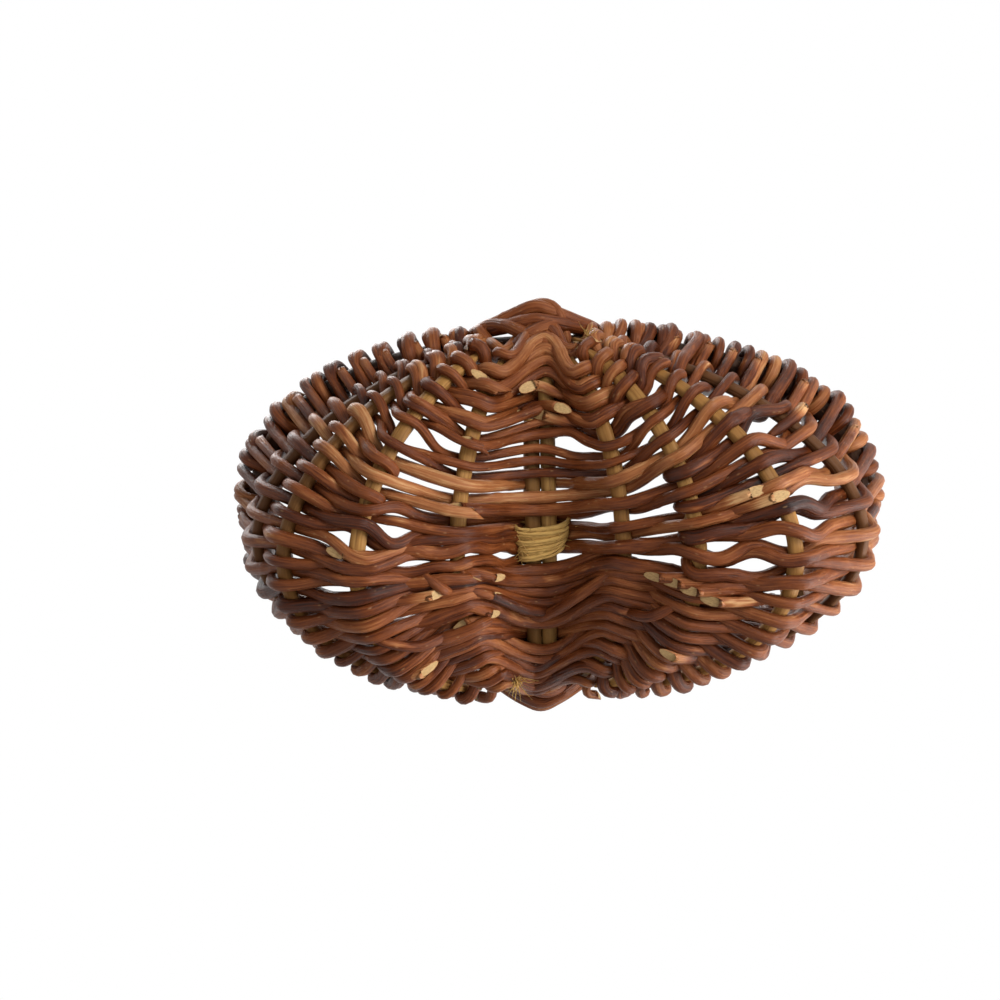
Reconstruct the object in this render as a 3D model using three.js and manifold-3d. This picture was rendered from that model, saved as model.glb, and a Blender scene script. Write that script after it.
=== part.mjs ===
// A small willow basket of two rounded lobes, ribbed and woven between a rim hoop and a handle hoop.
import * as THREE from 'three';
import { mergeVertices } from 'three/addons/utils/BufferGeometryUtils.js';
import Module from 'manifold-3d';

// Rods and cord, in millimetres
const RIM_DIAMETER = 7;
const HOOP_DIAMETER = 5.4;
const RIB_WIDTH = 5.6;
const RIB_THICKNESS = 4;
const WEAVER_DIAMETER = 3.2;
const TWINE_DIAMETER = 2;

// Bowl and handle, on the centrelines of the rods
const LEFT_REACH = 106; // spine to the left end of the rim
const RIGHT_REACH = 122; // spine to the right end of the rim
const HOOP_HALF_WIDTH = 69; // handle hoop at its widest, where the rim crosses it
const SPINE_DEPTH = 36; // rim down to the lowest point of the handle hoop
const HANDLE_RISE = 118; // rim up to the highest point of the handle hoop
const LOBE_SWELL = 88; // how far the lobes swell below the line from spine to rim
const RIM_SQUARENESS = 2.3; // 2 makes an elliptical rim, more a squarer one
const RIB_SQUARENESS = 1.9; // the same for the ribs
const LEFT_RIB_ANGLES = [16, 36, 56, 71]; // degrees round from the spine to the rim
const RIGHT_RIB_ANGLES = [13, 25, 43, 66]; // degrees round from the spine to the rim
const LAP_FRONT_ANGLE = 33; // where the lapped hoop rod begins, degrees in front of its lowest point
const LAP_BACK_ANGLE = 45; // where the lapped hoop rod ends, degrees behind its lowest point

// Weave and lashings
const ROW_GAP = 1; // between neighbouring rows where they lie closest
const SHORT_PAIRS = 9; // pairs of short rows in each lobe
const PAIR_START = 0.35; // share of the rows, from the front, before the first of these pairs
const FLOAT_SHARE = 0.35; // share of the rows, from the front, that all pass outside the spine
const WORN_DEPTH = 1.4; // worn off the weavers that the basket stands on
const SPINE_TURNS = 4; // of twine round the lapped hoop rod
const WRAP_DIAMETER = 3.4; // of the rod that is crossed over each ear
const WRAP_SLANT = 35; // of that rod from the rim, in degrees
const TURN_GAP = 0.6; // between neighbouring turns of a lashing or wrap
const CLEARANCE = 0.3; // between pieces that lie on each other

// Mesh fineness
const ROD_SIDES = 8;
const RIB_SIDES = 6;
const WEAVER_SIDES = 5;
const WOUND_SIDES = 6;
const STEPS_PER_TURN = 24;
const RIM_STEPS = 40;
const HOOP_STEPS = 72;
const RIB_STEPS = 18;

const RIM_RADIUS = RIM_DIAMETER / 2;
const HOOP_RADIUS = HOOP_DIAMETER / 2;
const WEAVER_RADIUS = WEAVER_DIAMETER / 2;
const TWINE_RADIUS = TWINE_DIAMETER / 2;
const WRAP_RADIUS = WRAP_DIAMETER / 2;
const UP = new THREE.Vector3(0, 0, 1);

// The rim crosses inside the handle hoop at the two ears
const EAR_OFFSET = HOOP_RADIUS + RIM_RADIUS + CLEARANCE;
const RIM_HALF_WIDTH = HOOP_HALF_WIDTH - EAR_OFFSET;
const LAP_OFFSET = HOOP_RADIUS + CLEARANCE / 2;

// Room that the crossed wraps at an ear take along the rim and along the hoop
const TURN_PITCH = TWINE_DIAMETER + TURN_GAP;
const WRAP_RISE = RIM_RADIUS + WRAP_RADIUS + 2 * CLEARANCE;
const WRAP_REACH = WRAP_RISE / Math.tan(THREE.MathUtils.degToRad(WRAP_SLANT));
const SPINE_MARGIN = WRAP_RISE + WRAP_DIAMETER + WEAVER_DIAMETER;
const RIM_MARGIN = LAP_OFFSET + WRAP_REACH + WRAP_DIAMETER + WEAVER_DIAMETER;

const wasm = await Module();
wasm.setup();

// A curve given by stations, so that a tube has a ring at each of them
class StationPath extends THREE.Curve {
  constructor(points, normals) {
    super();
    this.points = points;
    this.normals = normals;
  }

  station(u) {
    return Math.round(u * (this.points.length - 1));
  }

  getPointAt(u, target = new THREE.Vector3()) {
    return target.copy(this.points[this.station(u)]);
  }

  getTangentAt(u, target = new THREE.Vector3()) {
    const i = this.station(u);
    const last = this.points.length - 1;
    target.set(0, 0, 0);
    if (i > 0) {
      target.add(direction(this.points[i - 1], this.points[i]));
    }
    if (i < last) {
      target.add(direction(this.points[i], this.points[i + 1]));
    }
    return target.normalize();
  }

  computeFrenetFrames(segments, closed) {
    const frames = super.computeFrenetFrames(segments, closed);
    if (this.normals) {
      frames.normals = this.normals;
      frames.binormals = frames.tangents.map((t, i) => t.clone().cross(this.normals[i]));
    }
    return frames;
  }
}

// A rod of the frame between the two ears: q runs from -1 at the front ear to 1 at the back ear
class Member extends THREE.Curve {
  constructor(name, halfWidth, halfThickness, margin, locate) {
    super();
    this.arcLengthDivisions = 400;
    this.name = name;
    this.halfWidth = halfWidth;
    this.halfThickness = halfThickness;
    this.margin = margin;
    this.locate = locate;
  }

  getPoint(t, target = new THREE.Vector3()) {
    const [x, y, z] = this.locate(-Math.cos(Math.PI * t));
    return target.set(x, y, z);
  }

  // Length from the front ear to where the member is at a given y
  lengthTo(y) {
    const end = this.getPoint(1).y;
    const t = Math.acos(THREE.MathUtils.clamp(-y / end, -1, 1)) / Math.PI;
    const lengths = this.getLengths();
    const at = t * (lengths.length - 1);
    const low = Math.min(Math.floor(at), lengths.length - 2);
    return THREE.MathUtils.lerp(lengths[low], lengths[low + 1], at - low);
  }

  pointAlong(length) {
    return this.getPointAt(THREE.MathUtils.clamp(length / this.getLength(), 0, 1));
  }

  tangentAlong(length) {
    return this.getTangentAt(THREE.MathUtils.clamp(length / this.getLength(), 0, 1));
  }
}

function direction(from, to) {
  return to.clone().sub(from).normalize();
}

function bulge(q, squareness) {
  return Math.pow(1 - Math.pow(Math.abs(q), squareness), 1 / squareness);
}

function rimMember(name, reach) {
  const locate = (q) => [reach * bulge(q, RIM_SQUARENESS), RIM_HALF_WIDTH * q, 0];
  return new Member(name, RIM_RADIUS, RIM_RADIUS, RIM_MARGIN, locate);
}

function ribMember(name, reach, degrees) {
  const angle = THREE.MathUtils.degToRad(degrees);
  const depth = (SPINE_DEPTH + LOBE_SWELL * Math.sin(angle)) * Math.cos(angle);
  const halfWidth = THREE.MathUtils.lerp(RIM_HALF_WIDTH, HOOP_HALF_WIDTH, Math.cos(angle));
  const locate = (q) => {
    const radial = bulge(q, RIB_SQUARENESS);
    return [reach * Math.sin(angle) * radial, halfWidth * q, -depth * radial];
  };
  const margin = THREE.MathUtils.lerp(SPINE_MARGIN, RIM_MARGIN, Math.sin(angle));
  return new Member(name, RIB_WIDTH / 2, RIB_THICKNESS / 2, margin, locate);
}

function spineMember() {
  const locate = (q) => [0, HOOP_HALF_WIDTH * q, -SPINE_DEPTH * bulge(q, 2)];
  return new Member('spine', HOOP_DIAMETER + CLEARANCE / 2, HOOP_RADIUS, SPINE_MARGIN, locate);
}

// From the left end of the rim, down round the spine and up to the right end
const leftRibs = LEFT_RIB_ANGLES.map((a, i) => ribMember(`rib_left_${i + 1}`, -LEFT_REACH, a));
const rightRibs = RIGHT_RIB_ANGLES.map((a, i) => ribMember(`rib_right_${i + 1}`, RIGHT_REACH, a));
const members = [
  rimMember('rim_left', -LEFT_REACH),
  ...leftRibs.toReversed(),
  spineMember(),
  ...rightRibs,
  rimMember('rim_right', RIGHT_REACH),
];
const LAST = members.length - 1;
const SPINE = leftRibs.length + 1;
const spine = members[SPINE];

// An even number of rows, as many as fit along the spine
const ROW_PITCH = WEAVER_DIAMETER + ROW_GAP;
const ROW_ROOM = spine.getLength() - 2 * SPINE_MARGIN;
const ROWS = 2 * Math.floor(ROW_ROOM / (2 * ROW_PITCH));

// Each lobe has pairs of short rows, which turn back at one of its ribs, most of them towards the back
const FIRST_PAIR = 2 * Math.round((PAIR_START * ROWS) / 2);
const SLOTS = ROWS + 2 * SHORT_PAIRS;
const LOBES = [-1, 1];

function count(n) {
  return [...Array(n).keys()];
}

// Row that a lobe's pair of short rows follows: even rows at the left, odd ones at the right
function rowBefore(pair, lobe) {
  return FIRST_PAIR + 2 * pair + (lobe > 0 ? 1 : 0);
}

// The short rows after row r are numbered r + 1/3 and r + 2/3, and they turn at r + 1/2
function shortRows(pair, lobe) {
  return [1 / 3, 1 / 2, 2 / 3].map((part) => rowBefore(pair, lobe) + part);
}

// Place of a row among all the rows of a lobe
function slotOf(row, lobe) {
  const whole = Math.floor(row);
  const pairsBefore = Math.ceil((whole - rowBefore(0, lobe)) / 2);
  return whole + 2 * THREE.MathUtils.clamp(pairsBefore, 0, SHORT_PAIRS) + 3 * (row - whole);
}

// Length along a member at which a row crosses it: short rows spread the others, most at the rim
function lengthOf(row, i) {
  const lobe = Math.sign(i - SPINE);
  const even = (row + 0.5) / ROWS;
  const spread = (slotOf(row, lobe) + 0.5) / SLOTS;
  const share = THREE.MathUtils.lerp(even, spread, Math.min(Math.abs(i - SPINE) / 3, 1));
  const { margin } = members[i];
  return margin + share * (members[i].getLength() - 2 * margin);
}

function isRib(i) {
  return i > 0 && i < LAST && i !== SPINE;
}

function rowPoint(row, i) {
  return members[i].pointAlong(lengthOf(row, i));
}

// Rows that have to pass the twine round the middle of the spine
const LASH_HALF_LENGTH = (SPINE_TURNS * TURN_PITCH) / 2 + TWINE_DIAMETER + WEAVER_RADIUS + CLEARANCE;

function besideLashing(row) {
  return Math.abs(lengthOf(row, SPINE) - spine.getLength() / 2) < LASH_HALF_LENGTH;
}

// Directions across a member and out of the bowl, at a length along the member
function frameAt(i, length) {
  const point = members[i].pointAlong(length);
  const along = members[i].tangentAlong(length);
  const across = new THREE.Vector3();
  for (const j of [i - 1, i + 1].filter((n) => members[n])) {
    const beside = members[j].pointAlong(members[j].lengthTo(point.y));
    across.add(direction(point, beside).multiplyScalar(j - i));
  }
  const out = along.clone().cross(across).normalize();
  return { point, out, across: out.clone().cross(along) };
}

// Half the length that a weaver lies flat on a member, which is longer on the wide spine
function restLength(i) {
  const side = WEAVER_RADIUS + CLEARANCE;
  return members[i].halfWidth + (i === SPINE ? side : 0.4 * side);
}

const CROSSING_ROOM = 1.5 * WEAVER_DIAMETER;

// A rib is there for a row only where a weaver can pass between it and both its neighbours
function hasRoom(i, row) {
  return [i - 1, i + 1].every((j) => {
    const needed = restLength(i) + restLength(j) + CROSSING_ROOM;
    return rowPoint(row, i).distanceTo(rowPoint(row, j)) > needed;
  });
}

const ROUND_ROOM = 2 * WEAVER_DIAMETER;

// Past the tip of a rib, a row still keeps to the round of the bowl where the rib would be
function keepsRound(i, row) {
  return [i - 1, i + 1].every((j) => rowPoint(row, i).distanceTo(rowPoint(row, j)) > ROUND_ROOM);
}

function crossedMembers(row) {
  return members.map((_, i) => i).filter((i) => !isRib(i) || hasRoom(i, row) || keepsRound(i, row));
}

// Side of a member that a row passes on: 1 outside the bowl, -1 inside it
function passingSide(row, place, i) {
  if (i === SPINE && besideLashing(row)) {
    return -1;
  }
  if (i === SPINE && row < FLOAT_SHARE * ROWS) {
    return 1;
  }
  return (place + Math.round(slotOf(row, Math.sign(i - SPINE)))) % 2 === 0 ? 1 : -1;
}

function passMember(row, place, i, heading) {
  const { point, out, across } = frameAt(i, lengthOf(row, i));
  if (isRib(i) && !hasRoom(i, row)) {
    return [point];
  }
  const twine = i === SPINE && besideLashing(row) ? TWINE_DIAMETER + 2 * CLEARANCE : 0;
  const lift = members[i].halfThickness + WEAVER_RADIUS + CLEARANCE + twine;
  const level = point.addScaledVector(out, lift * passingSide(row, place, i));
  const rest = restLength(i) * heading;
  return [level.clone().addScaledVector(across, -rest), level.clone().addScaledVector(across, rest)];
}

// Half a turn round a member, from one side of it to the other, on the side that the vector points to
function turnRound(i, from, to, side, towards) {
  const reach = (half) => (half + WEAVER_RADIUS + CLEARANCE) / Math.cos(Math.PI / 6);
  return [-30, 30, 90, 150, 210].map((degrees, n) => {
    const angle = THREE.MathUtils.degToRad(degrees);
    const { point, out, across } = frameAt(i, THREE.MathUtils.lerp(from, to, n / 4));
    const turning = towards ?? across.multiplyScalar(Math.sign(SPINE - i));
    out.projectOnPlane(turning).normalize();
    point.addScaledVector(out, side * reach(members[i].halfThickness) * Math.cos(angle));
    return point.addScaledVector(turning, reach(members[i].halfWidth) * Math.sin(angle));
  });
}

// Over the rim, from outside to inside with side 1 and from inside to outside with side -1
function turnOverRim(i, fromRow, toRow, side) {
  return turnRound(i, lengthOf(fromRow, i), lengthOf(toRow, i), side, UP);
}

// A row from rim to rim, one leg at each member that it crosses
function rowPasses(row, heading) {
  const crossed = crossedMembers(row);
  const passes = crossed.map((i, place) => passMember(row, place, i, heading)).slice(1, -1);
  return heading > 0 ? passes : passes.reverse();
}

// The long rows as one run of short legs, back and forth, cut into rods of about two rows
function longWeavers() {
  const legs = [turnOverRim(0, 0, 0, -1)];
  const starts = [];
  for (let row = 0; row < ROWS; row += 1) {
    const heading = row % 2 === 0 ? 1 : -1;
    const passes = rowPasses(row, heading);
    if (heading > 0) {
      // A row near an ear crosses few members, so its rod starts at the rim
      const skipped = passes.length < SPINE ? 0 : ((3 * row) / 2) % passes.length;
      starts.push(row === 0 ? 0 : legs.length + skipped);
    }
    legs.push(...passes);
    legs.push(turnOverRim(heading > 0 ? LAST : 0, row, Math.min(row + 1, ROWS - 1), heading));
  }
  return starts.map((start, n) => legs.slice(start, starts[n + 1]).flat());
}

const TURN_ROOM = 4 * RIB_WIDTH;

// A short rod turns at the lobe's second rib, or near an ear at the first one after it that has room
function turningRib(row, lobe) {
  const ribs = count(leftRibs.length - 1).map((n) => SPINE + lobe * (n + 2));
  const room = (i) => rowPoint(row, i).distanceTo(rowPoint(row, i - lobe));
  return ribs.find((i) => room(i) > TURN_ROOM) ?? ribs.at(-1);
}

// A rod that comes in over the rim, turns back round a rib of the lobe and goes out over the rim
function shortWeaver(pair, lobe) {
  const [inward, turn, outward] = shortRows(pair, lobe);
  const rim = lobe > 0 ? LAST : 0;
  const turning = turningRib(turn, lobe);
  const outer = count(Math.abs(rim - turning) - 1).map((n) => turning + lobe * (n + 1));
  const side = passingSide(inward, turning, turning);
  return [
    turnOverRim(rim, inward, inward, -lobe),
    ...outer.toReversed().map((i) => passMember(inward, i, i, -lobe)),
    turnRound(turning, lengthOf(turn, turning), lengthOf(turn, turning), side),
    ...outer.map((i) => passMember(outward, i, i, lobe)),
    turnOverRim(rim, outward, outward, -lobe),
  ].flat();
}

function polygon(sides, halfX, halfY) {
  const points = [];
  for (let i = 0; i < sides; i += 1) {
    const angle = (2 * Math.PI * i) / sides;
    points.push(new THREE.Vector2(halfX * Math.cos(angle), halfY * Math.sin(angle)));
  }
  return new THREE.Shape(points);
}

function tube(points, shape, normals) {
  const path = new StationPath(points, normals);
  const options = { steps: points.length - 1, extrudePath: path, bevelEnabled: false };
  const geometry = new THREE.ExtrudeGeometry(shape, options);
  geometry.deleteAttribute('uv');
  geometry.deleteAttribute('normal');
  return mergeVertices(geometry, 1e-4);
}

function rimPath() {
  const points = [];
  const half = CLEARANCE / 2;
  for (const i of [LAST, 0]) {
    const length = members[i].getLength();
    for (let n = 0; n <= RIM_STEPS; n += 1) {
      const nearBack = i === LAST ? n === RIM_STEPS : n === 0;
      const travel = i === LAST ? n / RIM_STEPS : 1 - n / RIM_STEPS;
      if (!nearBack || i === LAST) {
        points.push(members[i].getPointAt(THREE.MathUtils.clamp(travel, half / length, 1)));
      }
    }
  }
  return points;
}

// The rod begins under the bowl, goes once round as spine and handle, and laps itself under the bowl
function hoopPath() {
  const points = [];
  for (let n = 0; n <= HOOP_STEPS; n += 1) {
    const degrees = THREE.MathUtils.lerp(-LAP_FRONT_ANGLE, 360 + LAP_BACK_ANGLE, n / HOOP_STEPS);
    const angle = THREE.MathUtils.degToRad(degrees);
    const x = LAP_OFFSET * (2 * THREE.MathUtils.smoothstep(degrees, 60, 300) - 1);
    const height = Math.cos(angle) > 0 ? SPINE_DEPTH : HANDLE_RISE;
    points.push(new THREE.Vector3(x, HOOP_HALF_WIDTH * Math.sin(angle), -height * Math.cos(angle)));
  }
  return points;
}

function ribGeometry(i) {
  const rows = count(ROWS).filter((row) => hasRoom(i, row));
  const tip = WEAVER_RADIUS / 2;
  const first = lengthOf(rows[0], i) - tip;
  const last = lengthOf(rows.at(-1), i) + tip;
  const points = [];
  const normals = [];
  for (let n = 0; n <= RIB_STEPS; n += 1) {
    const { point, out } = frameAt(i, THREE.MathUtils.lerp(first, last, n / RIB_STEPS));
    points.push(point);
    normals.push(out);
  }
  return tube(points, polygon(RIB_SIDES, RIB_THICKNESS / 2, RIB_WIDTH / 2), normals);
}

// Adds straight ends, one diameter long
function withEnds(points, diameter) {
  const end = (last, inner) => last.clone().addScaledVector(direction(inner, last), diameter);
  return [end(points[0], points[1]), ...points, end(points.at(-1), points.at(-2))];
}

// Least gap between parts of a wound rod that lie more than two diameters apart along it
function leastGap(points, diameter) {
  const samples = [];
  let travelled = 0;
  points.slice(1).forEach((to, n) => {
    const from = points[n];
    const steps = Math.ceil(from.distanceTo(to) / (diameter / 8));
    count(steps).forEach((step) => {
      const along = travelled + (from.distanceTo(to) * step) / steps;
      samples.push({ along, point: from.clone().lerp(to, step / steps) });
    });
    travelled += from.distanceTo(to);
  });
  let least = Infinity;
  samples.forEach((a, n) => {
    samples.slice(n + 1).forEach((b) => {
      if (b.along - a.along > 2 * diameter) {
        least = Math.min(least, a.point.distanceTo(b.point) - diameter);
      }
    });
  });
  return least;
}

function wound(name, points, diameter) {
  const path = withEnds(points, diameter);
  console.log(`${name}: least gap to itself ${leastGap(path, diameter).toFixed(2)} mm`);
  return { name, geometry: tube(path, polygon(WOUND_SIDES, diameter / 2, diameter / 2)) };
}

// Turns of twine round the two lapped lengths of the hoop rod, in the middle of the spine
function spineLashing() {
  const halfA = HOOP_DIAMETER + TWINE_RADIUS + 2 * CLEARANCE;
  const halfB = HOOP_RADIUS + TWINE_RADIUS + 2 * CLEARANCE;
  const { point, out, across } = frameAt(SPINE, spine.getLength() / 2);
  const advance = across.clone().cross(out);
  const rounded = (v) => Math.sign(v) * Math.abs(v) ** (2 / 3);
  const points = count(SPINE_TURNS * STEPS_PER_TURN + 1).map((n) => {
    const angle = (2 * Math.PI * n) / STEPS_PER_TURN;
    const turn = point.clone().addScaledVector(across, halfA * rounded(Math.cos(angle)));
    turn.addScaledVector(out, halfB * rounded(Math.sin(angle)));
    return turn.addScaledVector(advance, TURN_PITCH * (n / STEPS_PER_TURN - SPINE_TURNS / 2));
  });
  return wound('lashing_spine', points, TWINE_DIAMETER);
}

// A rod crossed over an ear: up slanting in front, down behind the rim, up the other way and down again
function earWrap(name, side) {
  const layer = WRAP_DIAMETER + TURN_GAP;
  const front = EAR_OFFSET + HOOP_RADIUS + WRAP_RADIUS + CLEARANCE;
  const back = -RIM_RADIUS - WRAP_RADIUS - CLEARANCE;
  const at = (x, up, depth) =>
    new THREE.Vector3(x - side * LAP_OFFSET, side * (RIM_HALF_WIDTH + depth), up * WRAP_RISE);
  const points = [1, -1].flatMap((hand) => {
    const top = hand * WRAP_REACH;
    const depth = hand > 0 ? front : front + layer;
    return [
      at(-top, -1, 0),
      at(-top, -1, front / 3),
      at(-0.6 * top, -0.6, depth),
      at(0.6 * top, 0.6, depth),
      at(top, 1, front / 3),
      at(top, 1, 0),
      at(top, 0.5, back),
      at(hand > 0 ? top : top + layer, -0.5, back),
    ];
  });
  return wound(name, points, WRAP_DIAMETER);
}

function toSolid(geometry) {
  const vertProperties = Float32Array.from(geometry.attributes.position.array);
  const triVerts = Uint32Array.from(geometry.index.array);
  return new wasm.Manifold(new wasm.Mesh({ numProp: 3, vertProperties, triVerts }));
}

function toGeometry(solid) {
  const { vertProperties, triVerts } = solid.getMesh();
  const geometry = new THREE.BufferGeometry();
  geometry.setAttribute('position', new THREE.Float32BufferAttribute(vertProperties, 3));
  geometry.setIndex(Array.from(triVerts));
  return geometry;
}

function lowest(geometry) {
  geometry.computeBoundingBox();
  return geometry.boundingBox.min.z;
}

// Weavers that reach below the floor are worn flat there
function wearFlat(geometry) {
  if (lowest(geometry) >= 0) {
    return geometry;
  }
  const floor = new THREE.BoxGeometry(4 * RIGHT_REACH, 4 * RIGHT_REACH, SPINE_DEPTH);
  floor.deleteAttribute('uv');
  floor.deleteAttribute('normal');
  floor.translate(0, 0, -SPINE_DEPTH / 2);
  return toGeometry(toSolid(geometry).subtract(toSolid(mergeVertices(floor, 1e-4))));
}

const peeled = new THREE.MeshStandardMaterial({ color: 0xb08d52, roughness: 0.6, metalness: 0 });
const dark = new THREE.MeshStandardMaterial({ color: 0x3a2418, roughness: 0.6, metalness: 0 });
const willow = new THREE.MeshStandardMaterial({ color: 0x7a3d1c, roughness: 0.45, metalness: 0 });
const twine = new THREE.MeshStandardMaterial({ color: 0xc8b47c, roughness: 0.9, metalness: 0 });

const shortWeavers = LOBES.flatMap((lobe) => count(SHORT_PAIRS).map((pair) => shortWeaver(pair, lobe)));
const weavers = [...longWeavers(), ...shortWeavers].map((points, n) => ({
  name: `weaver_${String(n + 1).padStart(2, '0')}`,
  geometry: tube(points, polygon(WEAVER_SIDES, WEAVER_RADIUS, WEAVER_RADIUS)),
}));
const RIM_HEIGHT = -Math.min(...weavers.map(({ geometry }) => lowest(geometry))) - WORN_DEPTH;

const basket = new THREE.Group();
basket.name = 'basket';

function place({ name, geometry }, material, finish = (g) => g) {
  geometry.translate((LEFT_REACH - RIGHT_REACH) / 2, 0, RIM_HEIGHT);
  const mesh = new THREE.Mesh(finish(geometry), material);
  mesh.name = name;
  basket.add(mesh);
}

const roundRod = (radius) => polygon(ROD_SIDES, radius, radius);
place({ name: 'rim_hoop', geometry: tube(rimPath(), roundRod(RIM_RADIUS)) }, dark);
place({ name: 'handle_hoop', geometry: tube(hoopPath(), roundRod(HOOP_RADIUS)) }, peeled);
members.forEach((member, i) => {
  if (isRib(i)) {
    place({ name: member.name, geometry: ribGeometry(i) }, peeled);
  }
});
place(spineLashing(), twine);
place(earWrap('ear_wrap_front', -1), willow);
place(earWrap('ear_wrap_back', 1), willow);
weavers.forEach((weaver) => place(weaver, willow, wearFlat));

export default basket;
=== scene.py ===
"""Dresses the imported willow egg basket: barked and peeled rods, twine, studio light and camera."""

import bisect
import logging
import math
import random
from collections.abc import Callable
from dataclasses import dataclass, field
from enum import Enum
from typing import ClassVar

import bmesh
import bpy
from mathutils import Matrix, Vector, noise


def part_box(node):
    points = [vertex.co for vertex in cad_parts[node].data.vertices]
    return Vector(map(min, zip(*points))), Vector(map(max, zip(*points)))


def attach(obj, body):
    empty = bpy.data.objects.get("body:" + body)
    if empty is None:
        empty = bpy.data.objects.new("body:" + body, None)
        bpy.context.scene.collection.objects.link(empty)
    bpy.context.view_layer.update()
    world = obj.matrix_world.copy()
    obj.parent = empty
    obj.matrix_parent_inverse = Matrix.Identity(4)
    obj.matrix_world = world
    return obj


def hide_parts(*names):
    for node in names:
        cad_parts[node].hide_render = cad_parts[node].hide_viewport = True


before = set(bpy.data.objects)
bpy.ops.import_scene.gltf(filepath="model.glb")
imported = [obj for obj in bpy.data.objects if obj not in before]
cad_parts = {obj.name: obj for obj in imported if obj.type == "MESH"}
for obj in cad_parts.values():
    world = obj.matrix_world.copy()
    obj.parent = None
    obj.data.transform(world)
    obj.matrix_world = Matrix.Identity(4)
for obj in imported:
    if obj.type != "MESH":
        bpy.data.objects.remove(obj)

MM = 0.001
UP = Vector((0.0, 0.0, 1.0))
NOISE_SEED = 7
log = logging.getLogger("basket")

Colour = tuple[float, float, float]
Socket = bpy.types.NodeSocket
Source = Socket | float | tuple


def lerp(a: float, b: float, share: float) -> float:
    """The number that lies a share of the way from a to b."""
    return a + (b - a) * share


def clamp(value: float, low: float, high: float) -> float:
    """The value, kept between low and high."""
    return min(max(value, low), high)


def smoothstep(value: float, low: float, high: float) -> float:
    """0 below low, 1 above high, and a smooth rise between them."""
    t = clamp((value - low) / (high - low), 0.0, 1.0)
    return t * t * (3.0 - 2.0 * t)


def bulge(q: float, squareness: float) -> float:
    """Height of a superellipse of unit size at q, which runs from -1 to 1."""
    return max(0.0, 1.0 - abs(q) ** squareness) ** (1.0 / squareness)


# Finishes


@dataclass(frozen=True)
class Pattern:
    """A noise pattern on a rod.

    Attributes:
        along: Its fineness along the rod, as a share of that across it.
        fineness: Its fineness across the rod.
        detail: Its octaves.
        roughness: How strong the finer octaves are.
    """

    along: float
    fineness: float
    detail: float
    roughness: float


@dataclass(frozen=True)
class Range:
    """A range from low to high, and the range that its values are carried to and kept in."""

    low: float
    high: float
    to_low: float
    to_high: float


@dataclass(frozen=True)
class Relief:
    """How deep a pattern is pressed into a surface.

    Attributes:
        depth: What a height of 1 is, in metres.
        strength: How much of the relief shows.
    """

    depth: float
    strength: float


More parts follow.
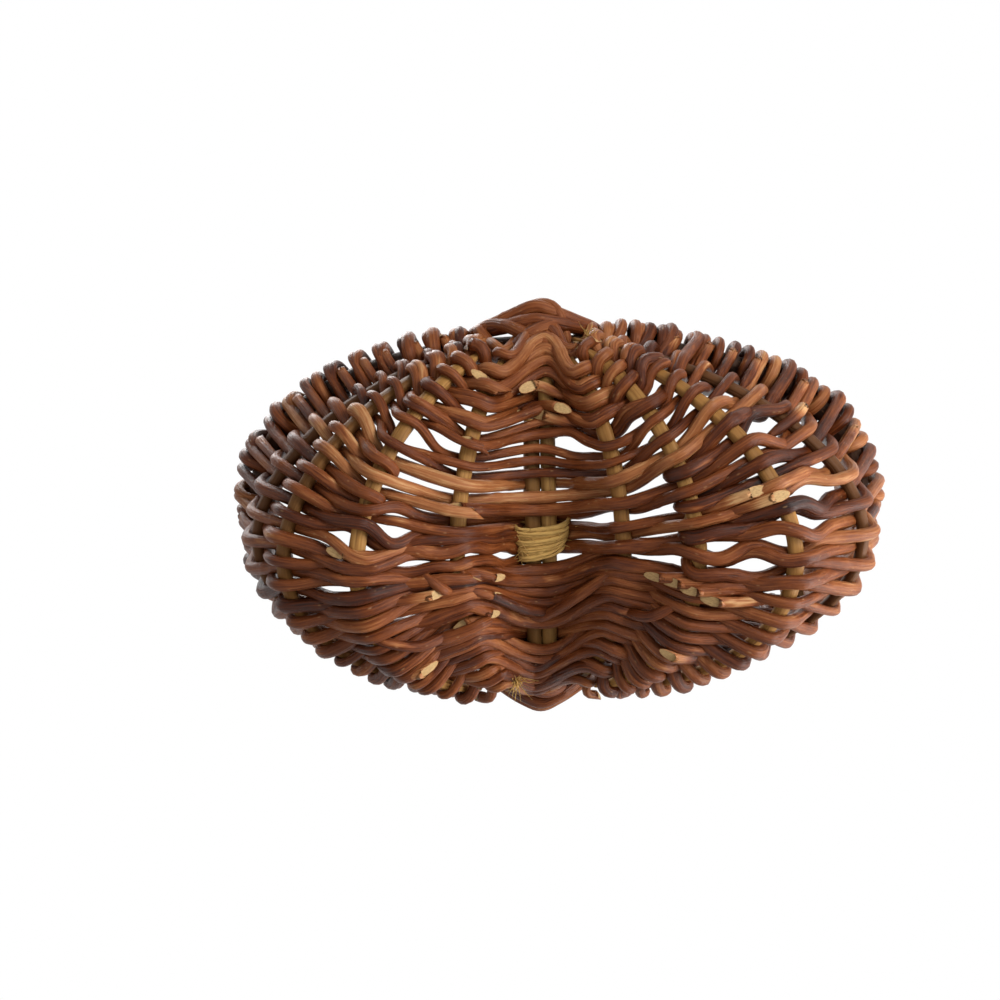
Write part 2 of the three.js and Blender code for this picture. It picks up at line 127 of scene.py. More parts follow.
class NodeTable:
    """The node tree of one new material, with short ways to add and join nodes.

    Attributes:
        mix_inputs: Numbers of a Mix node's share and colour inputs.
        mix_output: Number of its colour output.
    """

    mix_inputs: ClassVar[tuple[int, int, int]] = (0, 6, 7)
    mix_output: ClassVar[int] = 2

    def __init__(self, name: str) -> None:
        """Starts a material that has only a Principled shader and its output.

        Args:
            name: The material's name.
        """
        self.material = bpy.data.materials.new(name)
        self.material.use_nodes = True
        self.tree = self.material.node_tree
        self.tree.nodes.clear()
        self.shader = self.tree.nodes.new("ShaderNodeBsdfPrincipled")
        output = self.tree.nodes.new("ShaderNodeOutputMaterial")
        self.tree.links.new(self.shader.outputs["BSDF"], output.inputs["Surface"])

    def feed(self, target: Socket, source: Source) -> None:
        """Joins a socket to another, or sets its value.

        Args:
            target: The input socket.
            source: An output socket, or a plain value.
        """
        if isinstance(source, bpy.types.NodeSocket):
            self.tree.links.new(source, target)
        else:
            target.default_value = source

    def add(self, kind: str, sources: dict[str | int, Source]) -> bpy.types.Node:
        """A new node.

        Args:
            kind: The node's type.
            sources: What each of its inputs takes, by the input's name or number.

        Returns:
            The node.
        """
        node = self.tree.nodes.new(kind)
        for name, source in sources.items():
            self.feed(node.inputs[name], source)
        return node

    def dressed(self, sources: dict[str, Source]) -> bpy.types.Material:
        """The material, with its shader fed.

        Args:
            sources: What each input of the shader takes, by the input's name.

        Returns:
            The material.
        """
        for name, source in sources.items():
            self.feed(self.shader.inputs[name], source)
        return self.material

    def attribute(self, name: str, output: str) -> Socket:
        """A mesh attribute's output socket.

        Args:
            name: The attribute's name.
            output: The output socket's name.

        Returns:
            The socket.
        """
        node = self.tree.nodes.new("ShaderNodeAttribute")
        node.attribute_name = name
        return node.outputs[output]

    def tone(self) -> Socket:
        """The tone of a place on a rod."""
        return self.attribute("tone", "Fac")

    def grain(self, along: float) -> Socket:
        """A place in the grain of a rod.

        Args:
            along: What its length along the rod is multiplied by.

        Returns:
            The place's socket.
        """
        place = self.attribute("grain", "Vector")
        node = self.add("ShaderNodeVectorMath", {0: place, 1: (along, 1.0, 1.0)})
        node.operation = "MULTIPLY"
        return node.outputs[0]

    def noise(self, pattern: Pattern) -> Socket:
        """A noise pattern in the grain.

        Args:
            pattern: Its settings.

        Returns:
            The socket of a value about 0.5.
        """
        sources = {
            "Vector": self.grain(pattern.along),
            "Scale": pattern.fineness,
            "Detail": pattern.detail,
            "Roughness": pattern.roughness,
        }
        return self.add("ShaderNodeTexNoise", sources).outputs["Fac"]

    def cells(self, along: float, fineness: float) -> Socket:
        """Distance to the nearest of many points scattered in the grain.

        Args:
            along: Its fineness along the rod, as a share of that across it.
            fineness: Its fineness across the rod.

        Returns:
            The distance's socket.
        """
        sources = {"Vector": self.grain(along), "Scale": fineness}
        return self.add("ShaderNodeTexVoronoi", sources).outputs["Distance"]

    def maths(self, operation: str, a: Socket | float, b: Socket | float) -> Socket:
        """A sum, product or other operation on two numbers.

        Args:
            operation: The Math node's operation.
            a: The first number.
            b: The second number.

        Returns:
            The result's socket.
        """
        node = self.add("ShaderNodeMath", {0: a, 1: b})
        node.operation = operation
        return node.outputs[0]

    def span(self, value: Socket, limits: Range) -> Socket:
        """A value carried from one range to another.

        Args:
            value: The value's socket.
            limits: The two ranges.

        Returns:
            The new value's socket.
        """
        sources = {
            "Value": value,
            "From Min": limits.low,
            "From Max": limits.high,
            "To Min": limits.to_low,
            "To Max": limits.to_high,
        }
        return self.add("ShaderNodeMapRange", sources).outputs["Result"]

    def ramp(self, value: Socket, stops: tuple[tuple[float, Colour], ...]) -> Socket:
        """Colours along a value.

        Args:
            value: The value's socket.
            stops: Places from 0 to 1, with their colours.

        Returns:
            The colour's socket.
        """
        node = self.add("ShaderNodeValToRGB", {"Fac": value})
        elements = node.color_ramp.elements
        for _ in stops[2:]:
            elements.new(0.5)
        for element, (place, colour) in zip(elements, stops):
            element.position = place
            element.color = (*colour, 1.0)
        return node.outputs["Color"]

    def mixed(self, share: Socket | float, a: Socket | Colour, b: Socket | Colour) -> Socket:
        """Two colours mixed.

        Args:
            share: How much of the second colour.
            a: The first colour.
            b: The second colour.

        Returns:
            The colour's socket.
        """
        a, b = ((*source, 1.0) if isinstance(source, tuple) else source for source in (a, b))
        node = self.tree.nodes.new("ShaderNodeMix")
        node.data_type = "RGBA"
        for number, source in zip(self.mix_inputs, (share, a, b)):
            self.feed(node.inputs[number], source)
        return node.outputs[self.mix_output]

    def relief(self, height: Socket, relief: Relief, under: Socket | None = None) -> Socket:
        """A bumpy surface.

        Args:
            height: The height pattern.
            relief: How deep it is.
            under: The normals of a relief below this one.

        Returns:
            The normal's socket.
        """
        sources = {"Height": height, "Distance": relief.depth, "Strength": relief.strength}
        if under is not None:
            sources["Normal"] = under
        return self.add("ShaderNodeBump", sources).outputs["Normal"]


@dataclass(frozen=True)
class BarkFinish:
    """Willow rods with their bark on, brown and slightly shiny.

    Attributes:
        stops: The colours of the bark, from dark to pale.
        tone_share: How much a rod's own tone counts.
    """

    name: str = "willow bark"
    stops: tuple[tuple[float, Colour], ...] = (
        (0.0, (0.016, 0.003, 0.001)),
        (0.25, (0.078, 0.016, 0.003)),
        (0.5, (0.200, 0.054, 0.014)),
        (0.75, (0.370, 0.140, 0.048)),
        (1.0, (0.600, 0.340, 0.150)),
    )
    tone_share: float = 0.62
    streaks: Pattern = Pattern(0.05, 1500.0, 5.0, 0.62)
    streak_shade: Range = Range(0.3, 0.7, -0.16, 0.2)
    streak_relief: Relief = Relief(0.0006, 0.9)
    patches: Pattern = Pattern(0.4, 90.0, 4.0, 0.6)
    patch_shade: Range = Range(0.3, 0.7, -0.14, 0.2)
    patch_relief: Relief = Relief(0.0012, 0.7)
    scrapes: Pattern = Pattern(0.25, 153.0, 3.0, 0.6)
    scrape_shade: Range = Range(0.62, 0.74, 0.0, 0.4)
    lenticel_along: float = 0.45
    lenticel_fineness: float = 420.0
    lenticel_edge: Range = Range(0.05, 0.16, 1.0, 0.0)
    lenticel_colour: Colour = (0.50, 0.27, 0.12)
    lenticel_share: float = 0.35
    lenticel_relief: Relief = Relief(0.0003, 0.4)
    roughness: float = 0.38
    smoother: float = 0.1
    rougher: float = 0.14
    shine: float = 0.17

    def make(self) -> bpy.types.Material:
        """The material.

        Returns:
            The new material.
        """
        table = NodeTable(self.name)
        tone = table.tone()
        streaks, patches, scrapes = map(table.noise, (self.streaks, self.patches, self.scrapes))
        spots = table.cells(self.lenticel_along, self.lenticel_fineness)
        lenticels = table.span(spots, self.lenticel_edge)
        shade = table.maths("MULTIPLY", tone, self.tone_share)
        shade = table.maths("ADD", shade, table.span(patches, self.patch_shade))
        shade = table.maths("ADD", shade, table.span(streaks, self.streak_shade))
        shade = table.maths("ADD", shade, table.span(scrapes, self.scrape_shade))
        spotted = table.maths("MULTIPLY", lenticels, self.lenticel_share)
        low, high = self.patch_shade.low, self.patch_shade.high
        roughness = Range(low, high, self.roughness - self.smoother, self.roughness + self.rougher)
        coarse = table.relief(patches, self.patch_relief)
        fine = table.relief(streaks, self.streak_relief, coarse)
        return table.dressed({
            "Base Color": table.mixed(spotted, table.ramp(shade, self.stops), self.lenticel_colour),
            "Roughness": table.span(patches, roughness),
            "Specular IOR Level": self.shine,
            "Normal": table.relief(lenticels, self.lenticel_relief, fine),
        })


@dataclass(frozen=True)
class PeeledFinish:
    """Peeled or split wood, pale, with long grain and brown stains.

    Attributes:
        dark_tone: How much a low tone darkens the whole rod towards the stain colour; on the hoop's left
            length that low tone is painted shade.
        crack_share: How dark the cracks are.
    """

    name: str
    pale: Colour
    deep: Colour
    stain: Colour
    lines: Pattern = Pattern(0.03, 1100.0, 5.0, 0.65)
    line_shade: Range = Range(0.38, 0.66, 0.0, 0.8)
    line_relief: Relief = Relief(0.0003, 0.6)
    stains: Pattern = Pattern(0.35, 70.0, 4.0, 0.6)
    stain_shade: Range = Range(0.45, 0.75, 0.0, 0.75)
    dark_tone: Range = Range(0.0, 0.5, 0.92, 0.0)
    cracks: Pattern = Pattern(0.018, 520.0, 2.0, 0.5)
    crack_edge: Range = Range(0.29, 0.36, 1.0, 0.0)
    crack_share: float = 0.7
    crack_relief: Relief = Relief(-0.0003, 0.6)
    roughness: Range = Range(0.3, 0.7, 0.44, 0.68)
    shine: float = 0.15

    def make(self) -> bpy.types.Material:
        """The material.

        Returns:
            The new material.
        """
        table = NodeTable(self.name)
        tone = table.tone()
        lines, stains, cracks = map(table.noise, (self.lines, self.stains, self.cracks))
        split = table.span(cracks, self.crack_edge)
        colour = table.mixed(tone, self.deep, self.pale)
        colour = table.mixed(table.span(lines, self.line_shade), colour, self.deep)
        colour = table.mixed(table.span(stains, self.stain_shade), colour, self.stain)
        colour = table.mixed(table.span(tone, self.dark_tone), colour, self.stain)
        colour = table.mixed(table.maths("MULTIPLY", split, self.crack_share), colour, self.stain)
        fine = table.relief(lines, self.line_relief)
        return table.dressed({
            "Base Color": colour,
            "Roughness": table.span(lines, self.roughness),
            "Specular IOR Level": self.shine,
            "Normal": table.relief(split, self.crack_relief, fine),
        })


@dataclass(frozen=True)
class TwineFinish:
    """Pale plant-fibre twine."""

    name: str = "loose twine"
    pale: Colour = (0.72, 0.450, 0.145)
    deep: Colour = (0.170, 0.088, 0.024)
    fibres: Pattern = Pattern(0.12, 2600.0, 4.0, 0.65)
    fibre_shade: Range = Range(0.35, 0.68, 0.75, 0.0)
    fibre_relief: Relief = Relief(0.00025, 0.7)
    dirt: Pattern = Pattern(1.0, 160.0, 3.0, 0.6)
    dirt_shade: Range = Range(0.5, 0.8, 0.0, 0.35)
    tone_shade: Range = Range(0.0, 1.0, 1.3, 0.5)
    roughness: float = 0.88
    shine: float = 0.1

    def make(self) -> bpy.types.Material:
        """The material.

        Returns:
            The new material.
        """
        table = NodeTable(self.name)
        tone = table.tone()
        fibres, dirt = map(table.noise, (self.fibres, self.dirt))
        share = table.maths("ADD", table.span(fibres, self.fibre_shade), table.span(dirt, self.dirt_shade))
        share = table.maths("MULTIPLY", share, table.span(tone, self.tone_shade))
        return table.dressed({
            "Base Color": table.mixed(share, self.pale, self.deep),
            "Roughness": self.roughness,
            "Specular IOR Level": self.shine,
            "Normal": table.relief(fibres, self.fibre_relief),
        })


@dataclass(frozen=True)
class CutFinish:
    """The cut end of a rod, tan wood with a darker heart."""

    name: str = "cut end"
    wood: Colour = (0.56, 0.360, 0.150)
    heart: Colour = (0.30, 0.155, 0.052)
    flecks: Pattern = Pattern(0.3, 2200.0, 4.0, 0.6)
    fleck_shade: Range = Range(0.4, 0.7, 0.0, 0.8)
    fleck_relief: Relief = Relief(0.0002, 0.5)
    roughness: float = 0.7

    def make(self) -> bpy.types.Material:
        """The material.

        Returns:
            The new material.
        """
        table = NodeTable(self.name)
        flecks = table.noise(self.flecks)
        return table.dressed({
            "Base Color": table.mixed(table.span(flecks, self.fleck_shade), self.wood, self.heart),
            "Roughness": self.roughness,
            "Normal": table.relief(flecks, self.fleck_relief),
        })


class Finish(Enum):
    """The finishes of the basket's pieces."""

    BARK = BarkFinish()
    RIM_BARK = BarkFinish(
        name="dark rim bark",
        stops=(
            (0.0, (0.020, 0.010, 0.007)),
            (0.45, (0.076, 0.036, 0.020)),
            (0.8, (0.180, 0.092, 0.050)),
            (1.0, (0.340, 0.200, 0.115)),
        ),
        roughness=0.5,
    )
    RIB_WOOD = PeeledFinish(
        "peeled rib", pale=(0.47, 0.245, 0.070), deep=(0.22, 0.095, 0.024), stain=(0.095, 0.036, 0.011)
    )
    HOOP_WOOD = PeeledFinish(
        "peeled hoop", pale=(0.47, 0.265, 0.080), deep=(0.23, 0.108, 0.030), stain=(0.095, 0.040, 0.013)
    )
    TWINE = TwineFinish()
    CUT = CutFinish()

    def material(self) -> bpy.types.Material:
        """The finish's material, made when it is first asked for."""
        return bpy.data.materials.get(self.value.name) or self.value.make()


# Rods

TINY = 1e-9


def to_data(mesh: bmesh.types.BMesh, name: str) -> bpy.types.Mesh:
    """Mesh data with the shape of a bmesh, which is freed.

    Args:
        mesh: The bmesh.
        name: The name of the data.

    Returns:
        The data.
    """
    data = bpy.data.meshes.new(name)
    mesh.to_mesh(data)
    mesh.free()
    return data


def add_object(name: str, data: bpy.types.ID) -> bpy.types.Object:
    """A new object in the scene.

    Args:
        name: Its name.
        data: Its mesh, lamp or camera.

    Returns:
        The object.
    """
    made = bpy.data.objects.new(name, data)
    bpy.context.scene.collection.objects.link(made)
    return made


def softened(points: list[Vector], rounds: int) -> list[Vector]:
    """A path with its corners cut again and again.

    Args:
        points: The path.
        rounds: How often the corners are cut.

    Returns:
        The softer path, with the same ends.
    """
    for _ in range(rounds):
        cut = [points[0]]
        for a, b in zip(points, points[1:]):
            cut += [a.lerp(b, 0.25), a.lerp(b, 0.75)]
        points = [*cut, points[-1]]
    return points


def evenly(points: list[Vector], step: float) -> tuple[list[Vector], list[float]]:
    """Stations at even distances along a path.

    Args:
        points: The path.
        step: About how far apart the stations are.

    Returns:
        The stations, and for each of them its place along the given points, counted in points.
    """
    lengths = [0.0]
    for a, b in zip(points, points[1:]):
        lengths.append(lengths[-1] + (b - a).length)
    count = max(2, round(lengths[-1] / step))
    stations, places = [], []
    for n in range(count + 1):
        length = lengths[-1] * n / count
        at = clamp(bisect.bisect_right(lengths, length) - 1, 0, len(points) - 2)
        gap = lengths[at + 1] - lengths[at]
        share = (length - lengths[at]) / gap if gap > TINY else 0.0
        stations.append(points[at].lerp(points[at + 1], clamp(share, 0.0, 1.0)))
        places.append(at + share)
    return stations, places


@dataclass
class Rod:
    """A rod bent along a path and swept from a ring, in millimetres from the middle of the rim.

    Attributes:
        path: The points that the rod is bent along.
        radius: Half its width.
        thickness: Its thickness as a share of its width.
        squareness: 2 for a round section, more for a squarer one.
        faces: Which way the thickness lies, one direction for each point of the path.
        rounds: How often the corners of the path are cut.
        thin_start: Length over which the start thins to its tip.
        thin_end: Length over which the end thins to its tip.
        tip: Width of a thinned tip, as a share.
        butt: How much thicker the start is than the end, as a share.
        wander: How far the rod strays from its path.
        wobble: How much its width changes along it, as a share.
        slant: How far its cut ends lean, as a share of the radius.
        showing: The direction that the slanted cut at its end faces.
        end_tone: The tone at its end, where that differs.
        end_fade: Length over which it takes on that tone.
        painted_glare: How much paler it is painted where it lies at the right end of the basket, as
            painted glare of light there.
        bend: Moves each place of the finished centreline.
        closed: Whether it is one endless ring.
        floor: Height below which nothing of the rod reaches.
        knot_layer: Where the noise of the knots is read, apart from that of the slow change.
        knot_limits: Values of that noise at which a knot starts and is full.
        dent_turn: How fast dents change round the rod.
        grain_shift: How far the grain moves with the seed.
        glare_limits: Places along the basket between which the painted glare at the right end grows.
        cap_edge: Width of the bark round a cut end, as a share of the radius.
    """

    wander_length: ClassVar[float] = 24.0
    swell_length: ClassVar[float] = 17.0
    knot_length: ClassVar[float] = 5.0
    knot_layer: ClassVar[float] = 7.0
    knot_limits: ClassVar[tuple[float, float]] = (0.3, 0.6)
    dent_length: ClassVar[float] = 9.0
    dent_turn: ClassVar[float] = 1.3
    grain_shift: ClassVar[float] = 731.0
    glare_limits: ClassVar[tuple[float, float]] = (75.0, 118.0)
    cap_edge: ClassVar[float] = 0.12

    name: str
    path: list[Vector]
    radius: float
    seed: float
    tone: float
    end_tone: float | None = None
    end_fade: float = 12.0
    painted_glare: float = 0.0
    sides: int = 10
    step: float = 1.5
    thickness: float = 1.0
    squareness: float = 2.0
    faces: list[Vector] | None = None
    rounds: int = 3
    thin_start: float = 0.0
    thin_end: float = 0.0
    tip: float = 0.4
    butt: float = 0.0
    wander: float = 0.0
    wobble: float = 0.04
    slant: float = 0.0
    showing: Vector | None = None
    bend: Callable[[Vector], Vector] | None = None
    closed: bool = False
    floor: float | None = None

    def width_at(self, along: float, total: float) -> float:
        """The rod's half width at a place.

        Args:
            along: Length from the start.
            total: Length of the rod.

        Returns:
            The half width.
        """
        share = 1.0 + self.butt * (0.5 - along / total)
        share *= 1.0 + self.wobble * noise.noise(Vector((along / self.swell_length, self.seed, 0.0)))
        knot = noise.noise(Vector((along / self.knot_length, self.seed, self.knot_layer)))
        share *= 1.0 + self.wobble * smoothstep(knot, *self.knot_limits)
        if self.thin_start:
            share *= lerp(self.tip, 1.0, smoothstep(along, 0.0, self.thin_start))
        if self.thin_end:
            share *= lerp(self.tip, 1.0, smoothstep(total - along, 0.0, self.thin_end))
        return self.radius * share

    def shade_at(self, along: float, total: float, x: float) -> float:
        """The rod's tone at a place.

        Args:
            along: Length from the start.
            total: Length of the rod.
            x: Place along the basket.

        Returns:
            The tone.
        """
        shade = self.tone
        if self.end_tone is not None:
            reached = smoothstep(along, total - self.end_fade, total - self.end_fade / 3.0)
            shade = lerp(self.tone, self.end_tone, reached)
        # The right end of the basket is painted paler here, as painted glare of light.
        return shade + self.painted_glare * smoothstep(x, *self.glare_limits)

    def stations(self) -> tuple[list[Vector], list[Vector]]:
        """The centres of the rod's rings, and the directions of their thickness.

        Returns:
            The centres and the directions.
        """
        path = softened(self.path, self.rounds)
        if self.wander:
            drift = Vector((self.seed, -self.seed, 0.5 * self.seed))
            path = [p + self.wander * noise.noise_vector(p / self.wander_length + drift) for p in path]
        centres, places = evenly(path, self.step)
        if self.bend:
            centres = [self.bend(c) for c in centres]
        if self.closed:
            centres, places = centres[:-1], places[:-1]
        tangents = self.tangents(centres)
        if self.faces:
            faces = softened(self.faces, self.rounds)
            wanted = [faces[int(p)].lerp(faces[min(int(p) + 1, len(faces) - 1)], p % 1.0) for p in places]
        else:
            wanted = [tangents[0].orthogonal()]
            for tangent in tangents[1:]:
                wanted.append((wanted[-1] - tangent * tangent.dot(wanted[-1])).normalized())
        return centres, [(w - t * t.dot(w)).normalized() for w, t in zip(wanted, tangents)]

    def tangents(self, centres: list[Vector]) -> list[Vector]:
        """The rod's direction at each ring.

        Args:
            centres: The centres of the rings.

        Returns:
            The directions.
        """
        last = len(centres) - 1
        if self.closed:
            pairs = [(centres[n - 1], centres[(n + 1) % len(centres)]) for n in range(len(centres))]
        else:
            pairs = [(centres[max(n - 1, 0)], centres[min(n + 1, last)]) for n in range(len(centres))]
        return [(b - a).normalized() for a, b in pairs]

    def sweep(self) -> bpy.types.Mesh:
        """The rod's mesh, drawn out ring by ring from a circle.

        Returns:
            The mesh, in metres.
        """
        centres, normals = self.stations()
        tangents = self.tangents(centres)
        total = sum((b - a).length for a, b in zip(centres, centres[1:]))
        mesh = bmesh.new()
        grain = mesh.verts.layers.float_vector.new("grain")
        tone = mesh.verts.layers.float.new("tone")
        spot = mesh.verts.layers.int.new("spot")
        ring = bmesh.ops.create_circle(mesh, segments=self.sides, radius=1.0)["verts"]
        for number, vertex in enumerate(ring):
            vertex[spot] = number
        first = edges = list(mesh.edges)
        power = 2.0 / self.squareness
        along = 0.0
        for n, (centre, normal, tangent) in enumerate(zip(centres, normals, tangents)):
            if n:
                made = bmesh.ops.extrude_edge_only(mesh, edges=edges)["geom"]
                ring = [e for e in made if isinstance(e, bmesh.types.BMVert)]
                edges = [e for e in made if isinstance(e, bmesh.types.BMEdge) and e.is_boundary]
                along += (centre - centres[n - 1]).length
            side = tangent.cross(normal)
            half = self.width_at(along, total)
            lean = self.slant * (1.0 if n == len(centres) - 1 else -1.0 if n == 0 else 0.0)
            longest = normal if self.showing is None else -self.showing
            shade = self.shade_at(along, total, centre.x)
            for vertex in ring:
                angle = 2.0 * math.pi * vertex[spot] / self.sides
                c, s = math.cos(angle), math.sin(angle)
                across = math.copysign(abs(c) ** power, c)
                deep = math.copysign(abs(s) ** power, s) * self.thickness
                dent = (along / self.dent_length, self.dent_turn * c + self.seed, self.dent_turn * s)
                uneven = 1.0 + self.wobble * noise.noise(Vector(dent))
                arm = half * uneven * (across * side + deep * normal)
                place = centre + arm + lean * arm.dot(longest) * tangent
                if self.floor is not None:
                    place.z = max(place.z, self.floor)
                vertex.co = place * MM
                vertex[tone] = shade
                vertex[grain] = Vector((along + self.grain_shift * self.seed, half * c, half * s)) * MM
        if self.closed:
            bmesh.ops.bridge_loops(mesh, edges=first + edges)
        else:
            for end in (first, edges):
                self.cap(mesh, end)
        bmesh.ops.recalc_face_normals(mesh, faces=mesh.faces)
        mesh.verts.layers.int.remove(mesh.verts.layers.int["spot"])
        return to_data(mesh, self.name)

    def cap(self, mesh: bmesh.types.BMesh, edges: list[bmesh.types.BMEdge]) -> None:
        """Closes an end of the rod with a cut face.

        Args:
            mesh: The rod.
            edges: The edges round the end.
        """
        made = bmesh.ops.contextual_create(mesh, geom=edges)["faces"]
        edge = self.cap_edge * self.radius * MM
        bmesh.ops.inset_individual(mesh, faces=made, thickness=edge, depth=0.0)
        for face in made:
            face.material_index = 1

    def piece(self, finish: Finish, centre: Vector) -> bpy.types.Object:
        """The rod as an object, dressed and in its place.

        Args:
            finish: The finish of its surface.
            centre: Where the middle of the rim is, in metres.

        Returns:
            The object.
        """
        data = self.sweep()
        data.transform(Matrix.Translation(centre))
        data.materials.append(finish.material())
        data.materials.append(Finish.CUT.material())
        for face in data.polygons:
            face.use_smooth = face.material_index == 0
        return add_object(self.name, data)


def bundle(name: str, rods: list[Rod], finish: Finish, centre: Vector) -> bpy.types.Object:
    """Several thin rods as one object.

    Args:
        name: The object's name.
        rods: The rods.
        finish: Their finish.
        centre: Where the middle of the rim is, in metres.

    Returns:
        The object.
    """
    mesh = bmesh.new()
    for rod in rods:
        part = rod.sweep()
        mesh.from_mesh(part)
        bpy.data.meshes.remove(part)
    data = to_data(mesh, name)
    data.transform(Matrix.Translation(centre))
    data.materials.append(finish.material())
    data.materials.append(finish.material())
    data.shade_smooth()
    return add_object(name, data)


def settle(piece: bpy.types.Object, slot: str, *nodes: str) -> None:
    """Fixes a finished piece to the basket.

    Args:
        piece: The piece.
        slot: The record's material slot of the piece; not used.
        nodes: The CAD nodes that it stands for.
    """
    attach(piece, "root")
    if nodes:
        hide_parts(*nodes)
    log.info("%s: %d faces", piece.name, len(piece.data.polygons))


# The lines of the basket, and the weave


@dataclass
class Line:
    """The centreline of a rod of the frame, from the front ear to the back ear.

    Attributes:
        half_width: Half the rod's width along the bowl.
        half_thickness: Half its thickness through the bowl.
        margin: Length at each ear that has no weave.
        locate: The point at q, which runs from -1 at the front ear to 1 at the back ear.
        divisions: Into how many parts it is measured.
        nudge: The small change of t over which its direction is taken.
    """

    name: str
    half_width: float
    half_thickness: float
    margin: float
    locate: Callable[[float], Vector]
    divisions: int = 400
    nudge: float = 1e-4
    lengths: list[float] = field(init=False)

    def __post_init__(self) -> None:
        """Measures the line."""
        self.lengths = [0.0]
        last = self.at(0.0)
        for n in range(1, self.divisions + 1):
            here = self.at(n / self.divisions)
            self.lengths.append(self.lengths[-1] + (here - last).length)
            last = here

    @property
    def length(self) -> float:
        """Length from ear to ear."""
        return self.lengths[-1]

    def at(self, t: float) -> Vector:
        """The point at t, which runs from 0 to 1."""
        return self.locate(-math.cos(math.pi * t))

    def share_at(self, length: float) -> float:
        """The t of a point.

        Args:
            length: Length from the front ear to the point.

        Returns:
            The t, from 0 to 1.
        """
        length = clamp(length, 0.0, self.length)
        low = int(clamp(bisect.bisect_right(self.lengths, length) - 1, 0, self.divisions - 1))
        gap = self.lengths[low + 1] - self.lengths[low]
        return (low + (length - self.lengths[low]) / gap) / self.divisions

    def point_along(self, length: float) -> Vector:
        """The point at a length from the front ear."""
        return self.at(self.share_at(length))

    def tangent_along(self, length: float) -> Vector:
        """The direction at a length from the front ear."""
        t = self.share_at(length)
        return (self.at(min(t + self.nudge, 1.0)) - self.at(max(t - self.nudge, 0.0))).normalized()

    def length_to(self, y: float) -> float:
        """Length from the front ear to a place.

        Args:
            y: Where the place is, from ear to ear.

        Returns:
            The length.
        """
        end = self.at(1.0).y
        at = math.acos(clamp(-y / end, -1.0, 1.0)) / math.pi * self.divisions
        low = min(int(at), self.divisions - 1)
        return lerp(self.lengths[low], self.lengths[low + 1], at - low)


@dataclass
class Leg:
    """A short length of a weaver, where it crosses or turns round one rod of the frame.

    Attributes:
        points: Its path.
        out: The direction away from the inside of the bowl.
        along: The direction of the crossed rod, towards the back.
        side: 1 where it passes outside the crossed rod, -1 inside and 0 at a turn.
    """

    points: list[Vector]
    out: Vector
    along: Vector
    side: float


@dataclass(frozen=True)
class Run:
    """Places on the bowl, evenly spread from one to another.

    Attributes:
        start: Row and line of the first place.
        end: Row and line of the last place.
        count: How many places there are.
        value: The size or tone of what is there.
    """

    start: tuple[float, float]
    end: tuple[float, float]
    count: int
    value: float

    def places(self) -> list[tuple[float, float, float]]:
        """The places of the run.

        Returns:
            Row, line and value of each place.
        """
        shares = [n / max(self.count - 1, 1) for n in range(self.count)]
        ends = list(zip(self.start, self.end))
        return [(*(lerp(a, b, share) for a, b in ends), self.value) for share in shares]


